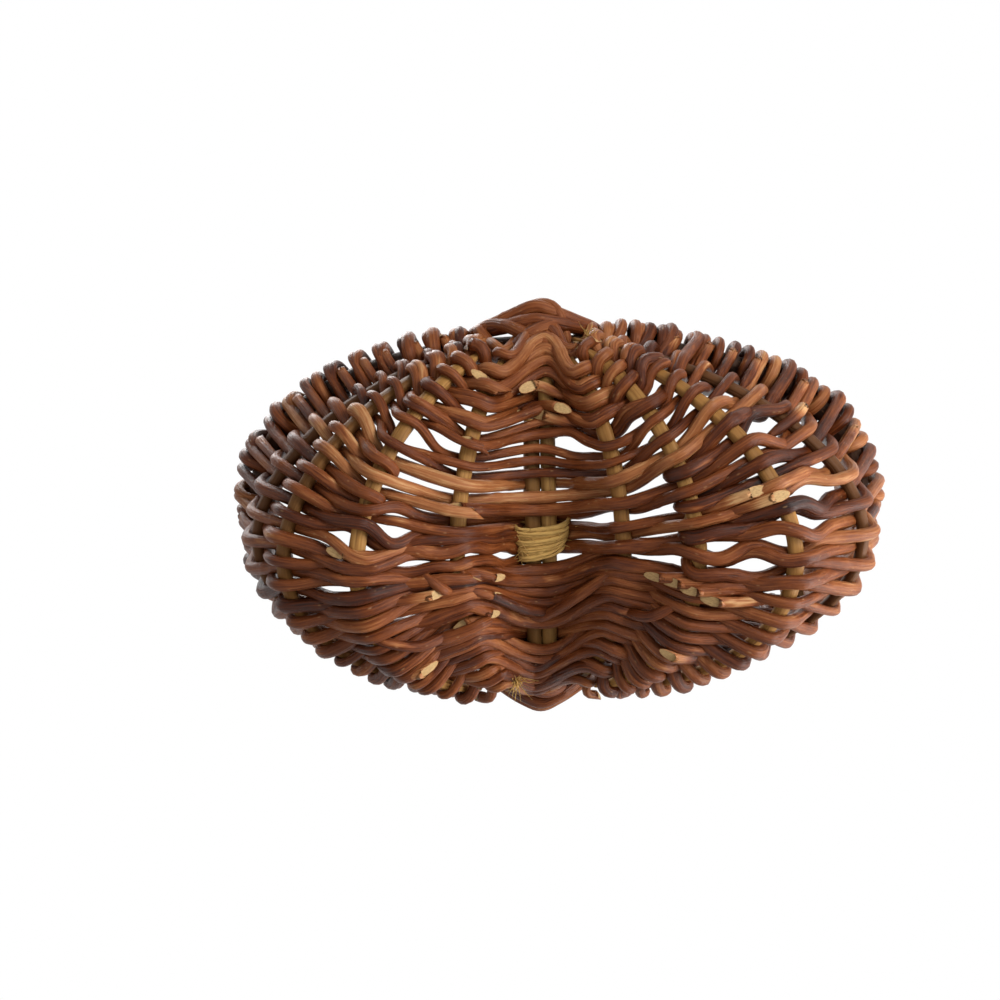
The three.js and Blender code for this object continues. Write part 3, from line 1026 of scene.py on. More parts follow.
@dataclass
class Bowl:
    """The sizes of the basket and the lines that it is woven on, in millimetres.

    Attributes:
        pair_start: Where the short rows start, as a share of the long rows.
        lap_front: Degrees from the middle of the spine to the hoop's end in front of it.
        lap_back: Degrees from the middle of the spine to the hoop's end behind it.
        crossing_room: Room that a weaver needs beside a rib.
        round_room: Distance to the next lines that lets a row keep to the round past a rib's tip.
        pressed: How far a weaver presses into the rods that it crosses.
        rest_share: How much of a weaver's half width it lies flat beyond the edge of a rod.
        turn_step: Degrees between the points of a turn over the rim.
        spread_lines: How many lines from the spine the rows are spread evenly over a lobe.
        bow: How far rows are drawn to the middle of each line, from the spine outwards, as a share.
        sway: How far rows near the back ear are moved to the front, as a share of a line.
        sway_rows: Over how many rows the move fades.
        sway_fade: How much less each further line is moved, as a share.
        inner_rows: Rows that pass inside the spine.
        openings: Where weavers are pushed apart, and how far.
        opening_edge: How sharply they part at the middle of an opening.
        midway_steps: Steps to a row, in the search for a place midway between weavers.
        midway_play: How far from midway that place may lie, as a share of the weavers' distance.
    """

    rim_diameter: float = 7.0
    hoop_diameter: float = 5.4
    rib_width: float = 5.6
    rib_thickness: float = 4.0
    weaver_diameter: float = 3.2
    twine_diameter: float = 2.0
    left_reach: float = 106.0
    right_reach: float = 122.0
    hoop_half_width: float = 69.0
    spine_depth: float = 36.0
    handle_rise: float = 118.0
    lobe_swell: float = 88.0
    rim_squareness: float = 2.3
    rib_squareness: float = 1.9
    left_rib_angles: tuple[float, ...] = (16.0, 36.0, 56.0, 71.0)
    right_rib_angles: tuple[float, ...] = (13.0, 25.0, 43.0, 66.0)
    row_gap: float = 1.0
    short_pairs: int = 9
    pair_start: float = 0.35
    spine_turns: int = 4
    wrap_diameter: float = 3.4
    wrap_slant: float = 35.0
    turn_gap: float = 0.6
    clearance: float = 0.3
    lap_front: float = 33.0
    lap_back: float = 45.0
    crossing_room: float = 1.6
    round_room: float = 5.0
    pressed: float = 0.4
    rest_share: float = 0.4
    turn_step: int = 30
    spread_lines: int = 3
    bow: tuple[float, ...] = (0.0, 0.24, 0.17, 0.07, -0.02, 0.0)
    sway: float = 0.08
    sway_row: float = 27.0
    sway_rows: float = 9.0
    sway_lines: int = 3
    sway_fade: float = 0.25
    inner_rows: tuple[int, ...] = (4, 5, 12, 25, 26)
    openings: tuple[Run, ...] = (
        Run((14.0, 8.5), (14.0, 8.5), 1, 6.0),
        Run((17.0, 8.4), (19.5, 7.6), 4, 4.2),
        Run((6.0, 8.0), (8.5, 5.5), 4, 2.8),
        Run((16.0, 3.3), (17.0, 3.0), 2, 5.4),
        Run((18.5, 3.5), (18.5, 4.6), 3, 3.0),
        Run((18.5, 7.2), (19.5, 6.8), 2, 2.8),
        Run((16.0, 5.8), (16.0, 5.8), 1, 3.0),
        Run((8.5, 3.6), (10.0, 3.1), 2, 2.4),
        Run((22.5, 3.5), (20.0, 2.6), 2, 2.4),
    )
    opening_length: float = 8.0
    opening_height: float = 6.0
    opening_depth: float = 12.0
    opening_edge: float = 5.0
    midway_steps: int = 24
    midway_play: float = 0.07
    lines: list[Line] = field(init=False)

    def __post_init__(self) -> None:
        """Lays out the lines and counts the rows."""
        self.rim_radius = self.rim_diameter / 2.0
        self.hoop_radius = self.hoop_diameter / 2.0
        self.weaver_radius = self.weaver_diameter / 2.0
        self.wrap_radius = self.wrap_diameter / 2.0
        self.ear_offset = self.hoop_radius + self.rim_radius + self.clearance
        self.rim_half_width = self.hoop_half_width - self.ear_offset
        self.lap_offset = self.hoop_radius + self.clearance / 2.0
        self.turn_pitch = self.twine_diameter + self.turn_gap
        self.wrap_rise = self.rim_radius + self.wrap_radius + 2.0 * self.clearance
        self.wrap_reach = self.wrap_rise / math.tan(math.radians(self.wrap_slant))
        self.spine_margin = self.wrap_rise + self.wrap_diameter + self.weaver_diameter
        self.rim_margin = self.lap_offset + self.wrap_reach + self.wrap_diameter + self.weaver_diameter
        left = self.rib_lines("rib_left", -self.left_reach, self.left_rib_angles)
        right = self.rib_lines("rib_right", self.right_reach, self.right_rib_angles)
        self.lines = [
            self.rim_line("rim_left", -self.left_reach),
            *reversed(left),
            self.spine_line(),
            *right,
            self.rim_line("rim_right", self.right_reach),
        ]
        self.last = len(self.lines) - 1
        self.spine = len(left) + 1
        room = self.lines[self.spine].length - 2.0 * self.spine_margin
        self.rows = 2 * int(room / (2.0 * (self.weaver_diameter + self.row_gap)))
        self.first_pair = 2 * math.floor(self.pair_start * self.rows / 2 + 0.5)
        self.slots = self.rows + 2 * self.short_pairs
        winding = self.spine_turns * self.turn_pitch / 2.0
        self.lash_half_length = winding + self.twine_diameter + self.weaver_radius + self.clearance
        self.gaps = []
        for run in self.openings:
            for row, at, size in run.places():
                self.gaps.append((*self.surface(self.midway(row, at), at), size))

    def rib_lines(self, name: str, reach: float, angles: tuple[float, ...]) -> list[Line]:
        """The ribs of a lobe, from the spine to the rim."""
        return [self.rib_line(f"{name}_{n}", reach, angle) for n, angle in enumerate(angles, start=1)]

    def rim_line(self, name: str, reach: float) -> Line:
        """One half of the rim.

        Args:
            name: Its name.
            reach: How far it swings out from the spine.

        Returns:
            The line.
        """

        def locate(q: float) -> Vector:
            """The point at q."""
            return Vector((reach * bulge(q, self.rim_squareness), self.rim_half_width * q, 0.0))

        return Line(name, self.rim_radius, self.rim_radius, self.rim_margin, locate)

    def rib_line(self, name: str, reach: float, degrees: float) -> Line:
        """A rib of a lobe.

        Args:
            name: Its name.
            reach: How far the lobe's rim swings out from the spine.
            degrees: Its angle round from the spine to the rim.

        Returns:
            The line.
        """
        angle = math.radians(degrees)
        depth = (self.spine_depth + self.lobe_swell * math.sin(angle)) * math.cos(angle)
        half_width = lerp(self.rim_half_width, self.hoop_half_width, math.cos(angle))

        def locate(q: float) -> Vector:
            """The point at q."""
            radial = bulge(q, self.rib_squareness)
            return Vector((reach * math.sin(angle) * radial, half_width * q, -depth * radial))

        margin = lerp(self.spine_margin, self.rim_margin, math.sin(angle))
        return Line(name, self.rib_width / 2.0, self.rib_thickness / 2.0, margin, locate)

    def spine_line(self) -> Line:
        """The lapped lengths of the hoop under the bowl.

        Returns:
            The line in the middle of both.
        """

        def locate(q: float) -> Vector:
            """The point at q."""
            return Vector((0.0, self.hoop_half_width * q, -self.spine_depth * bulge(q, 2.0)))

        half_width = self.hoop_diameter + self.clearance / 2.0
        return Line("spine", half_width, self.hoop_radius, self.spine_margin, locate)

    def lobe_of(self, i: int) -> int:
        """-1 for a line of the left lobe, 1 for one of the right lobe, 0 for the spine."""
        return (i > self.spine) - (i < self.spine)

    def is_rib(self, i: int) -> bool:
        """Whether a line is a rib."""
        return 0 < i < self.last and i != self.spine

    def row_before(self, pair: int, lobe: int) -> int:
        """The row that a lobe's pair of short rows follows."""
        return self.first_pair + 2 * pair + (1 if lobe > 0 else 0)

    def slot_of(self, row: float, lobe: int) -> float:
        """Place of a row among all the rows of a lobe.

        Args:
            row: The row, which may lie between two rows.
            lobe: -1 for the left lobe, 1 for the right one.

        Returns:
            The place, counted in rows.
        """
        whole = math.floor(row)
        slots = [
            n + 2 * clamp(math.ceil((n - self.row_before(0, lobe)) / 2), 0, self.short_pairs)
            for n in (whole, whole + 1)
        ]
        return lerp(*slots, row - whole)

    def length_of(self, row: float, i: int) -> float:
        """Length along a line at which a row crosses it.

        Args:
            row: The row, which may lie between two rows.
            i: The line.

        Returns:
            The length.
        """
        even = (row + 0.5) / self.rows
        spread = (self.slot_of(row, self.lobe_of(i)) + 0.5) / self.slots
        steps = abs(i - self.spine)
        share = lerp(lerp(even, spread, min(steps / self.spread_lines, 1.0)), 0.5, self.bow[steps])
        if 0 < steps <= self.sway_lines:
            near = math.exp(-(((row - self.sway_row) / self.sway_rows) ** 2))
            share -= self.sway * near * (1.0 - self.sway_fade * (steps - 1))
        line = self.lines[i]
        return line.margin + share * (line.length - 2.0 * line.margin)

    def row_point(self, row: float, i: int) -> Vector:
        """Where a row crosses a line."""
        return self.lines[i].point_along(self.length_of(row, i))

    def beside_lashing(self, row: float) -> bool:
        """Whether a row has to pass the twine round the spine."""
        middle = self.lines[self.spine].length / 2.0
        return abs(self.length_of(row, self.spine) - middle) < self.lash_half_length

    def frame_at(self, i: int, length: float) -> tuple[Vector, Vector, Vector, Vector]:
        """Directions at a place on a line.

        Args:
            i: The line.
            length: Length from the front ear.

        Returns:
            The point, and the directions out of the bowl, across the line and along it.
        """
        point = self.lines[i].point_along(length)
        along = self.lines[i].tangent_along(length)
        across = Vector()
        for j in (i - 1, i + 1):
            if 0 <= j <= self.last:
                beside = self.lines[j].point_along(self.lines[j].length_to(point.y))
                across += (beside - point).normalized() * (j - i)
        out = along.cross(across).normalized()
        return point, out, out.cross(along), along

    def surface(self, row: float, at: float) -> tuple[Vector, Vector, Vector]:
        """A place on the bowl.

        Args:
            row: The row, which may lie between two rows.
            at: The line, which may lie between two lines.

        Returns:
            The point, and the directions out of the bowl and along the row.
        """
        i = int(clamp(math.floor(at), 0, self.last - 1))
        a, b = (self.frame_at(j, self.length_of(row, j)) for j in (i, i + 1))
        return a[0].lerp(b[0], at - i), a[1].lerp(b[1], at - i).normalized(), (b[0] - a[0]).normalized()

    def midway(self, row: float, at: float) -> float:
        """The nearest place to a row that lies midway between two weavers of a lobe.

        Args:
            row: The row.
            at: The line, which may lie between two lines.

        Returns:
            The place, counted in rows.
        """
        lobe = 1 if at > self.spine else -1
        steps = self.midway_steps
        near = [row + step / steps for step in range(-steps, steps + 1)]

        def unfit(place: float) -> tuple[bool, float]:
            """Whether a place isn't midway, and how far off it is."""
            return abs(self.slot_of(place, lobe) % 1.0 - 0.5) > self.midway_play, abs(place - row)

        return min(near, key=unfit)

    def parted(self, point: Vector) -> Vector:
        """A place on a weaver, moved aside where the weave is open.

        Args:
            point: The place.

        Returns:
            The moved place.
        """
        moved = point.copy()
        for centre, out, across, size in self.gaps:
            away = point - centre
            aside = across.cross(out)
            u, v = away.dot(across) / self.opening_length, away.dot(aside) / self.opening_height
            depth = away.dot(out) / self.opening_depth
            fade = math.exp(-u * u - v * v - depth * depth)
            moved += aside * size * math.tanh(self.opening_edge * v) * fade
        return moved

    def lone_side(self, point: Vector) -> int:
        """Side of the spine on which the hoop runs alone, or 0 where its two lengths lie side by side."""
        degrees = math.degrees(math.asin(clamp(point.y / self.hoop_half_width, -1.0, 1.0)))
        return (degrees < -self.lap_front) - (degrees > self.lap_back)

    def rest_length(self, i: int) -> float:
        """Half the length that a weaver lies flat on a line's rod."""
        return self.lines[i].half_width + self.rest_share * (self.weaver_radius + self.clearance)

    def has_room(self, i: int, row: float) -> bool:
        """Whether a rib is there for a row, with room for a weaver at both its sides.

        Args:
            i: The number of the rib's line.
            row: The row.

        Returns:
            Whether the row crosses the rib.
        """
        here = self.row_point(row, i)
        return all(
            (here - self.row_point(row, j)).length
            > self.lines[i].half_width + self.lines[j].half_width + self.crossing_room
            for j in (i - 1, i + 1)
        )

    def keeps_round(self, i: int, row: float) -> bool:
        """Whether a row keeps to the round of the bowl past the tip of a rib."""
        here = self.row_point(row, i)
        return all((here - self.row_point(row, j)).length > self.round_room for j in (i - 1, i + 1))

    def crossed(self, row: float) -> list[int]:
        """The lines that a row crosses.

        Args:
            row: The row.

        Returns:
            The numbers of those lines, from left to right.
        """
        return [
            i
            for i in range(len(self.lines))
            if not self.is_rib(i) or self.has_room(i, row) or self.keeps_round(i, row)
        ]

    def passing_side(self, row: float, place: int, i: int) -> int:
        """Which way a row passes a line's rod.

        Args:
            row: The row.
            place: The rod's place among those that the row crosses.
            i: The rod's line.

        Returns:
            1 for outside the rod, -1 for inside.
        """
        if i == self.spine:
            return -1 if row in self.inner_rows or self.beside_lashing(row) else 1
        return 1 if (place + math.floor(self.slot_of(row, self.lobe_of(i)) + 0.5)) % 2 == 0 else -1

    def pass_rod(self, row: float, place: int, i: int, heading: int) -> Leg:
        """A row's leg across one rod.

        Args:
            row: The row.
            place: The rod's place among those that the row crosses.
            i: The rod's line.
            heading: 1 to the right, -1 to the left.

        Returns:
            The leg.
        """
        point, out, across, along = self.frame_at(i, self.length_of(row, i))
        if self.is_rib(i) and not self.has_room(i, row):
            return Leg([point], out, along, 0.0)
        side = self.passing_side(row, place, i)
        lift = self.lines[i].half_thickness + self.weaver_radius + self.clearance - self.pressed
        rest = self.rest_length(i)
        if i == self.spine:
            lone = self.lone_side(point)
            point = point + across * lone * self.lap_offset
            rest -= abs(lone) * self.lap_offset
            lift += self.twine_diameter if self.beside_lashing(row) else 0.0
        level = point + out * lift * side
        points = [level - across * rest * heading, level + across * rest * heading]
        return Leg(points, out, along, side)

    def turn(
        self, i: int, start: float, end: float, side: int, before: int, further: int, strand: float
    ) -> Leg:
        """A turn over the rim, from one side of it to the other.

        Args:
            i: The rim's line.
            start: Length along the rim at which the turn starts.
            end: Length at which it ends.
            side: 1 to start outside the bowl, -1 to start inside.
            before: Degrees that the turn has before the half turn.
            further: Degrees that the turn goes on after the half turn.
            strand: Half the weaver's width.

        Returns:
            The leg.
        """
        points = []
        step = self.turn_step
        reach = (self.rim_radius + strand) / math.cos(math.radians(step / 2.0))
        for degrees in range(-step - before, 180 + step + 1 + further, step):
            share = smoothstep(degrees, 0.0, 360.0)
            point, out, _, along = self.frame_at(i, lerp(start, end, share))
            out = (out - UP * out.dot(UP)).normalized()
            angle = math.radians(degrees)
            points.append(point + reach * (out * side * math.cos(angle) + UP * math.sin(angle)))
        return Leg(points, out, along, 0.0)


# Sub-assemblies


@dataclass
class RimHoop:
    """The endless dark rod round the mouth of the bowl."""

    bowl: Bowl
    radius: float = 3.5
    sides: int = 16
    steps: int = 90
    step: float = 2.0
    seed: float = 3.1
    tone: float = 0.5
    wobble: float = 0.05

    def build(self, centre: Vector) -> None:
        """Makes and dresses the rim.

        Args:
            centre: Where the middle of the rim is, in metres.
        """
        right, left = self.bowl.lines[self.bowl.last], self.bowl.lines[0]
        path = [right.point_along(right.length * n / self.steps) for n in range(self.steps)]
        path += [left.point_along(left.length * (1.0 - n / self.steps)) for n in range(self.steps + 1)]
        faces = [UP.copy() for _ in path]
        rod = Rod(
            "rim_rod", path, self.radius, self.seed, self.tone, sides=self.sides, step=self.step,
            faces=faces, rounds=1, wobble=self.wobble, closed=True,
        )
        settle(rod.piece(Finish.RIM_BARK, centre), "dark_bark", "rim_hoop")


@dataclass
class HandleHoop:
    """One peeled rod that is spine and handle, with its ends lapped under the bowl.

    Attributes:
        shift: Degrees round the hoop between which it moves from one side of the lap to the other.
        scarf: How far its cut ends lean, as a share of the radius.
        fade: Length over which it goes from the low tone of its start, painted shade on the length left of
            the spine, to the paler tone of its end.
    """

    bowl: Bowl
    radius: float = 2.75
    sides: int = 16
    steps: int = 140
    step: float = 1.8
    shift: tuple[float, float] = (60.0, 300.0)
    seed: float = 5.7
    wobble: float = 0.07
    scarf: float = 1.6
    # The low tone at the start paints shade on the hoop's length left of the spine; the end keeps the
    # paler tone of the lit right length.
    tone: float = 0.3
    end_tone: float = 0.85
    fade: float = 330.0

    def path(self) -> list[Vector]:
        """The hoop's centreline.

        Returns:
            Its points.
        """
        bowl = self.bowl
        points = []
        for n in range(self.steps + 1):
            degrees = lerp(-bowl.lap_front, 360.0 + bowl.lap_back, n / self.steps)
            angle = math.radians(degrees)
            x = bowl.lap_offset * (2.0 * smoothstep(degrees, *self.shift) - 1.0)
            height = bowl.spine_depth if math.cos(angle) > 0.0 else bowl.handle_rise
            points.append(Vector((x, bowl.hoop_half_width * math.sin(angle), -height * math.cos(angle))))
        return points

    def build(self, centre: Vector) -> None:
        """Makes and dresses the hoop.

        Args:
            centre: Where the middle of the rim is, in metres.
        """
        rod = Rod(
            "hoop_rod", self.path(), self.radius, self.seed, self.tone, sides=self.sides, step=self.step,
            rounds=1, wobble=self.wobble, slant=self.scarf, end_tone=self.end_tone, end_fade=self.fade,
        )
        settle(rod.piece(Finish.HOOP_WOOD, centre), "peeled_wood", "handle_hoop")


@dataclass
class Ribs:
    """The split and peeled ribs of both lobes."""

    bowl: Bowl
    half_width: float = 2.75
    thickness: float = 0.72
    squareness: float = 2.6
    sides: int = 14
    steps: int = 36
    step: float = 1.8
    first_seed: float = 0.9
    seed_step: float = 1.7
    wobble: float = 0.08
    tip_reach: float = 9.0
    tip: float = 0.4
    tones: tuple[float, ...] = (0.0, 0.3, 0.9, 0.75, 0.5, 0.95, 0.55, 0.0)

    def build(self, centre: Vector) -> None:
        """Makes and dresses the ribs.

        Args:
            centre: Where the middle of the rim is, in metres.
        """
        bowl = self.bowl
        ribs = [i for i in range(len(bowl.lines)) if bowl.is_rib(i)]
        for number, i in enumerate(ribs):
            rows = [row for row in range(bowl.rows) if bowl.has_room(i, row)]
            first = bowl.length_of(rows[0], i) - self.tip_reach
            last = bowl.length_of(rows[-1], i) + self.tip_reach
            stations = [bowl.frame_at(i, lerp(first, last, n / self.steps)) for n in range(self.steps + 1)]
            path, faces = ([station[part] for station in stations] for part in (0, 1))
            seed = self.seed_step * number + self.first_seed
            thinned = 2.0 * self.tip_reach
            rod = Rod(
                bowl.lines[i].name + "_wood", path, self.half_width, seed, self.tones[number],
                sides=self.sides, step=self.step, thickness=self.thickness, squareness=self.squareness,
                faces=faces, rounds=1, thin_start=thinned, thin_end=thinned, tip=self.tip,
                wobble=self.wobble,
            )
            settle(rod.piece(Finish.RIB_WOOD, centre), "peeled_wood", bowl.lines[i].name)


@dataclass
class Weavers:
    """The willow rods woven through the frame, long ones from rim to rim and short ones in each lobe.

    Attributes:
        widths: Least and greatest width, as shares.
        tones: Least, greatest and most common tone.
        overlap: How far a rod's end lies over the next rod.
        slack: How far the loosest turns stand off the rim.
        rib_turns: How many short rods of the left and of the right lobe turn back at a rib.
        rib_turn: Across and along of the points of a turn at a rib, up to its edge.
        spine_turn: Across and along of the points of a turn behind the spine, up to its middle.
        ear_rows: Rows of the short rods that fill up the weave near the ears.
        ear_crossings: Rows of the short rods that cross the spine near the ears.
    """

    bowl: Bowl
    radius: float = 2.08
    sides: int = 12
    wander: float = 0.7
    wobble: float = 0.1
    butt: float = 0.2
    slant: float = 1.5
    widths: tuple[float, float] = (0.8, 1.17)
    seeds: tuple[float, float] = (0.0, 90.0)
    tones: tuple[float, float, float] = (0.05, 1.1, 0.55)
    # The weavers' bark is painted paler at the right end of the basket, as painted glare of light.
    painted_glare: float = 0.3
    overlap: float = 2.6
    overlap_shift: float = 0.8
    slack: float = 2.3
    rib_turns: tuple[int, int] = (2, 4)
    rib_turn: tuple[tuple[float, float], ...] = ((4.0, 1.6), (-2.0, 1.2))
    spine_turn: tuple[tuple[float, float], ...] = ((5.0, 1.8), (-1.0, 1.4))
    ear_rows: tuple[float, ...] = (1.5, 3.5, 5.5, 7.4, 27.6, 29.5, 31.5)
    ear_crossings: tuple[float, ...] = (-3.3, -2.3, -1.2, 34.2, 35.3)
    dice: random.Random = field(default_factory=lambda: random.Random(41))

    def row_legs(self, row: int, heading: int) -> list[Leg]:
        """A row from rim to rim, one leg at each rod that it crosses.

        Args:
            row: The row.
            heading: 1 to the right, -1 to the left.

        Returns:
            The legs.
        """
        crossed = list(enumerate(self.bowl.crossed(row)))[1:-1]
        legs = [self.bowl.pass_rod(row, place, i, heading) for place, i in crossed]
        return legs if heading > 0 else legs[::-1]

    def over_rim(
        self, i: int, start_row: float, end_row: float, side: int, before: int = 0, further: int = 0
    ) -> Leg:
        """A turn over the rim.

        Args:
            i: The rim's line.
            start_row: The row that the turn comes from.
            end_row: The row that it goes to.
            side: 1 to start outside the bowl, -1 to start inside.
            before: Degrees that the turn has before the half turn.
            further: Degrees that the turn goes on after the half turn.

        Returns:
            The leg.
        """
        start, end = (self.bowl.length_of(row, i) for row in (start_row, end_row))
        strand = self.radius + self.dice.uniform(0.0, self.slack)
        return self.bowl.turn(i, start, end, side, before, further, strand)

    def long_rods(self) -> list[list[Leg]]:
        """The long rows as one run of legs, back and forth, cut into rods of about two rows.

        Returns:
            The legs of each rod, with one more leg where it overlaps the next rod.
        """
        bowl = self.bowl
        legs = [self.over_rim(0, 0, 0, -1)]
        starts = []
        for row in range(bowl.rows):
            heading = 1 if row % 2 == 0 else -1
            passes = self.row_legs(row, heading)
            if heading > 0:
                starts.append(0 if row == 0 else len(legs) + (3 * row // 2) % len(passes))
            legs += passes
            end = bowl.last if heading > 0 else 0
            last = row == bowl.rows - 1
            onward, further = (row, 180) if last else (row + 1, 360)
            legs.append(self.over_rim(end, row, onward, heading, further=further))
        rods = []
        for start, stop in zip(starts, [*starts[1:], len(legs)]):
            tail = [self.beside(leg) for leg in legs[stop : stop + 1]]
            rods.append(legs[start:stop] + tail)
        return rods

    def beside(self, leg: Leg) -> Leg:
        """A leg laid on top of the same leg of another rod.

        Args:
            leg: The other rod's leg.

        Returns:
            The new leg.
        """
        shift = leg.out * self.overlap * (leg.side or -1.0) + leg.along * self.overlap_shift
        return Leg([p + shift for p in leg.points], leg.out, leg.along, leg.side)

    def short_rod(self, pair: int, lobe: int) -> list[Leg]:
        """A rod in over the rim, back round a rib or behind the spine, and out over the rim again.

        Args:
            pair: Which of the lobe's pairs of short rows.
            lobe: -1 for the left lobe, 1 for the right one.

        Returns:
            Its legs.
        """
        bowl = self.bowl
        before = bowl.row_before(pair, lobe)
        inward, turning, outward = before + 1.0 / 3.0, before + 0.5, before + 2.0 / 3.0
        rim = bowl.last if lobe > 0 else 0
        second = bowl.spine + 2 * lobe
        if pair < self.rib_turns[lobe > 0]:
            ribs, back = range(second + lobe, rim, lobe), self.round_rib(turning, second, lobe)
        else:
            ribs, back = range(bowl.spine + lobe, rim, lobe), self.behind_spine(turning, lobe)
        return [
            self.over_rim(rim, inward, inward, -lobe, before=180 if lobe < 0 else 0),
            *(bowl.pass_rod(inward, i, i, -lobe) for i in reversed(ribs)),
            back,
            *(bowl.pass_rod(outward, i, i, lobe) for i in ribs),
            self.over_rim(rim, outward, outward, -lobe, further=180 if lobe > 0 else 0),
        ]

    def round_rib(self, row: float, i: int, lobe: int) -> Leg:
        """A turn round a rib, on its side towards the spine.

        Args:
            row: Where it lies.
            i: The rib's line.
            lobe: -1 for a rib of the left lobe, 1 for one of the right lobe.

        Returns:
            The leg.
        """
        bowl = self.bowl
        point, out, across, along = bowl.frame_at(i, bowl.length_of(row, i))
        side = bowl.passing_side(row - 1.0 / 6.0, i, i)
        lift = bowl.lines[i].half_thickness + self.radius
        edge = bowl.lines[i].half_width + self.radius
        places = [(u, lift, -w) for u, w in self.rib_turn]
        places.append((-edge, 0.0, 0.0))
        places += [(u, -lift, w) for u, w in reversed(self.rib_turn)]
        points = [point + across * lobe * u + out * side * v + along * w for u, v, w in places]
        return Leg(points, out, along, 0.0)

    def ear_rod(self, row: float, lobe: int) -> list[Leg]:
        """A rod near an ear that comes in over the rim and ends behind the spine.

        Args:
            row: Where it lies.
            lobe: -1 for the left lobe, 1 for the right one.

        Returns:
            Its legs.
        """
        bowl = self.bowl
        rim = bowl.last if lobe > 0 else 0
        ribs = [i for i in bowl.crossed(row) if bowl.lobe_of(i) == lobe and bowl.is_rib(i)]
        legs = [bowl.pass_rod(row, i, i, -lobe) for i in ribs]
        return [
            self.over_rim(rim, row, row, -lobe, before=180 if lobe < 0 else 0),
            *(legs if lobe < 0 else legs[::-1]),
            self.behind_spine(row, lobe),
        ]

    def ear_crossing(self, row: float) -> list[Leg]:
        """A short rod over the spine beside an ear, from the second rib of one lobe to that of the other.

        Args:
            row: Where it lies.

        Returns:
            Its legs.
        """
        spine = self.bowl.spine
        return [self.bowl.pass_rod(row, i, i, 1) for i in range(spine - 2, spine + 3)]

    def behind_spine(self, row: float, lobe: int) -> Leg:
        """A turn that lies behind the spine.

        Args:
            row: Where it lies.
            lobe: -1 for a rod of the left lobe, 1 for one of the right lobe.

        Returns:
            The leg.
        """
        bowl = self.bowl
        point, out, across, along = bowl.frame_at(bowl.spine, bowl.length_of(row, bowl.spine))
        level = point - out * (bowl.hoop_radius + self.radius)
        places = [*((u, -v) for u, v in self.spine_turn), *reversed(self.spine_turn)]
        return Leg([level + across * lobe * u + along * v for u, v in places], out, along, -1.0)

    def build(self, centre: Vector) -> None:
        """Makes and dresses the weavers.

        Args:
            centre: Where the middle of the rim is, in metres.
        """
        rods = self.long_rods()
        for lobe in (-1, 1):
            rods += [self.short_rod(pair, lobe) for pair in range(self.bowl.short_pairs)]
        nodes = [f"weaver_{number:02d}" for number in range(1, len(rods) + 1)]
        for lobe in (-1, 1):
            rods += [self.ear_rod(row, lobe) for row in self.ear_rows]
        rods += [self.ear_crossing(row) for row in self.ear_crossings]
        for number, legs in enumerate(rods, start=1):
            path = [point for leg in legs for point in leg.points]
            width, seed = self.dice.uniform(*self.widths), self.dice.uniform(*self.seeds)
            rod = Rod(
                f"willow_{number:02d}", path, self.radius * width, seed, self.dice.triangular(*self.tones),
                sides=self.sides, rounds=2, wander=self.wander, wobble=self.wobble, butt=self.butt,
                slant=self.slant, bend=self.bowl.parted, painted_glare=self.painted_glare, floor=-centre.z / MM,
            )
            settle(rod.piece(Finish.BARK, centre), "willow_bark", *nodes[number - 1 : number])


class Ear(Enum):
    """The two places where the rim crosses the hoop, by their side of the basket."""

    FRONT = -1
    BACK = 1


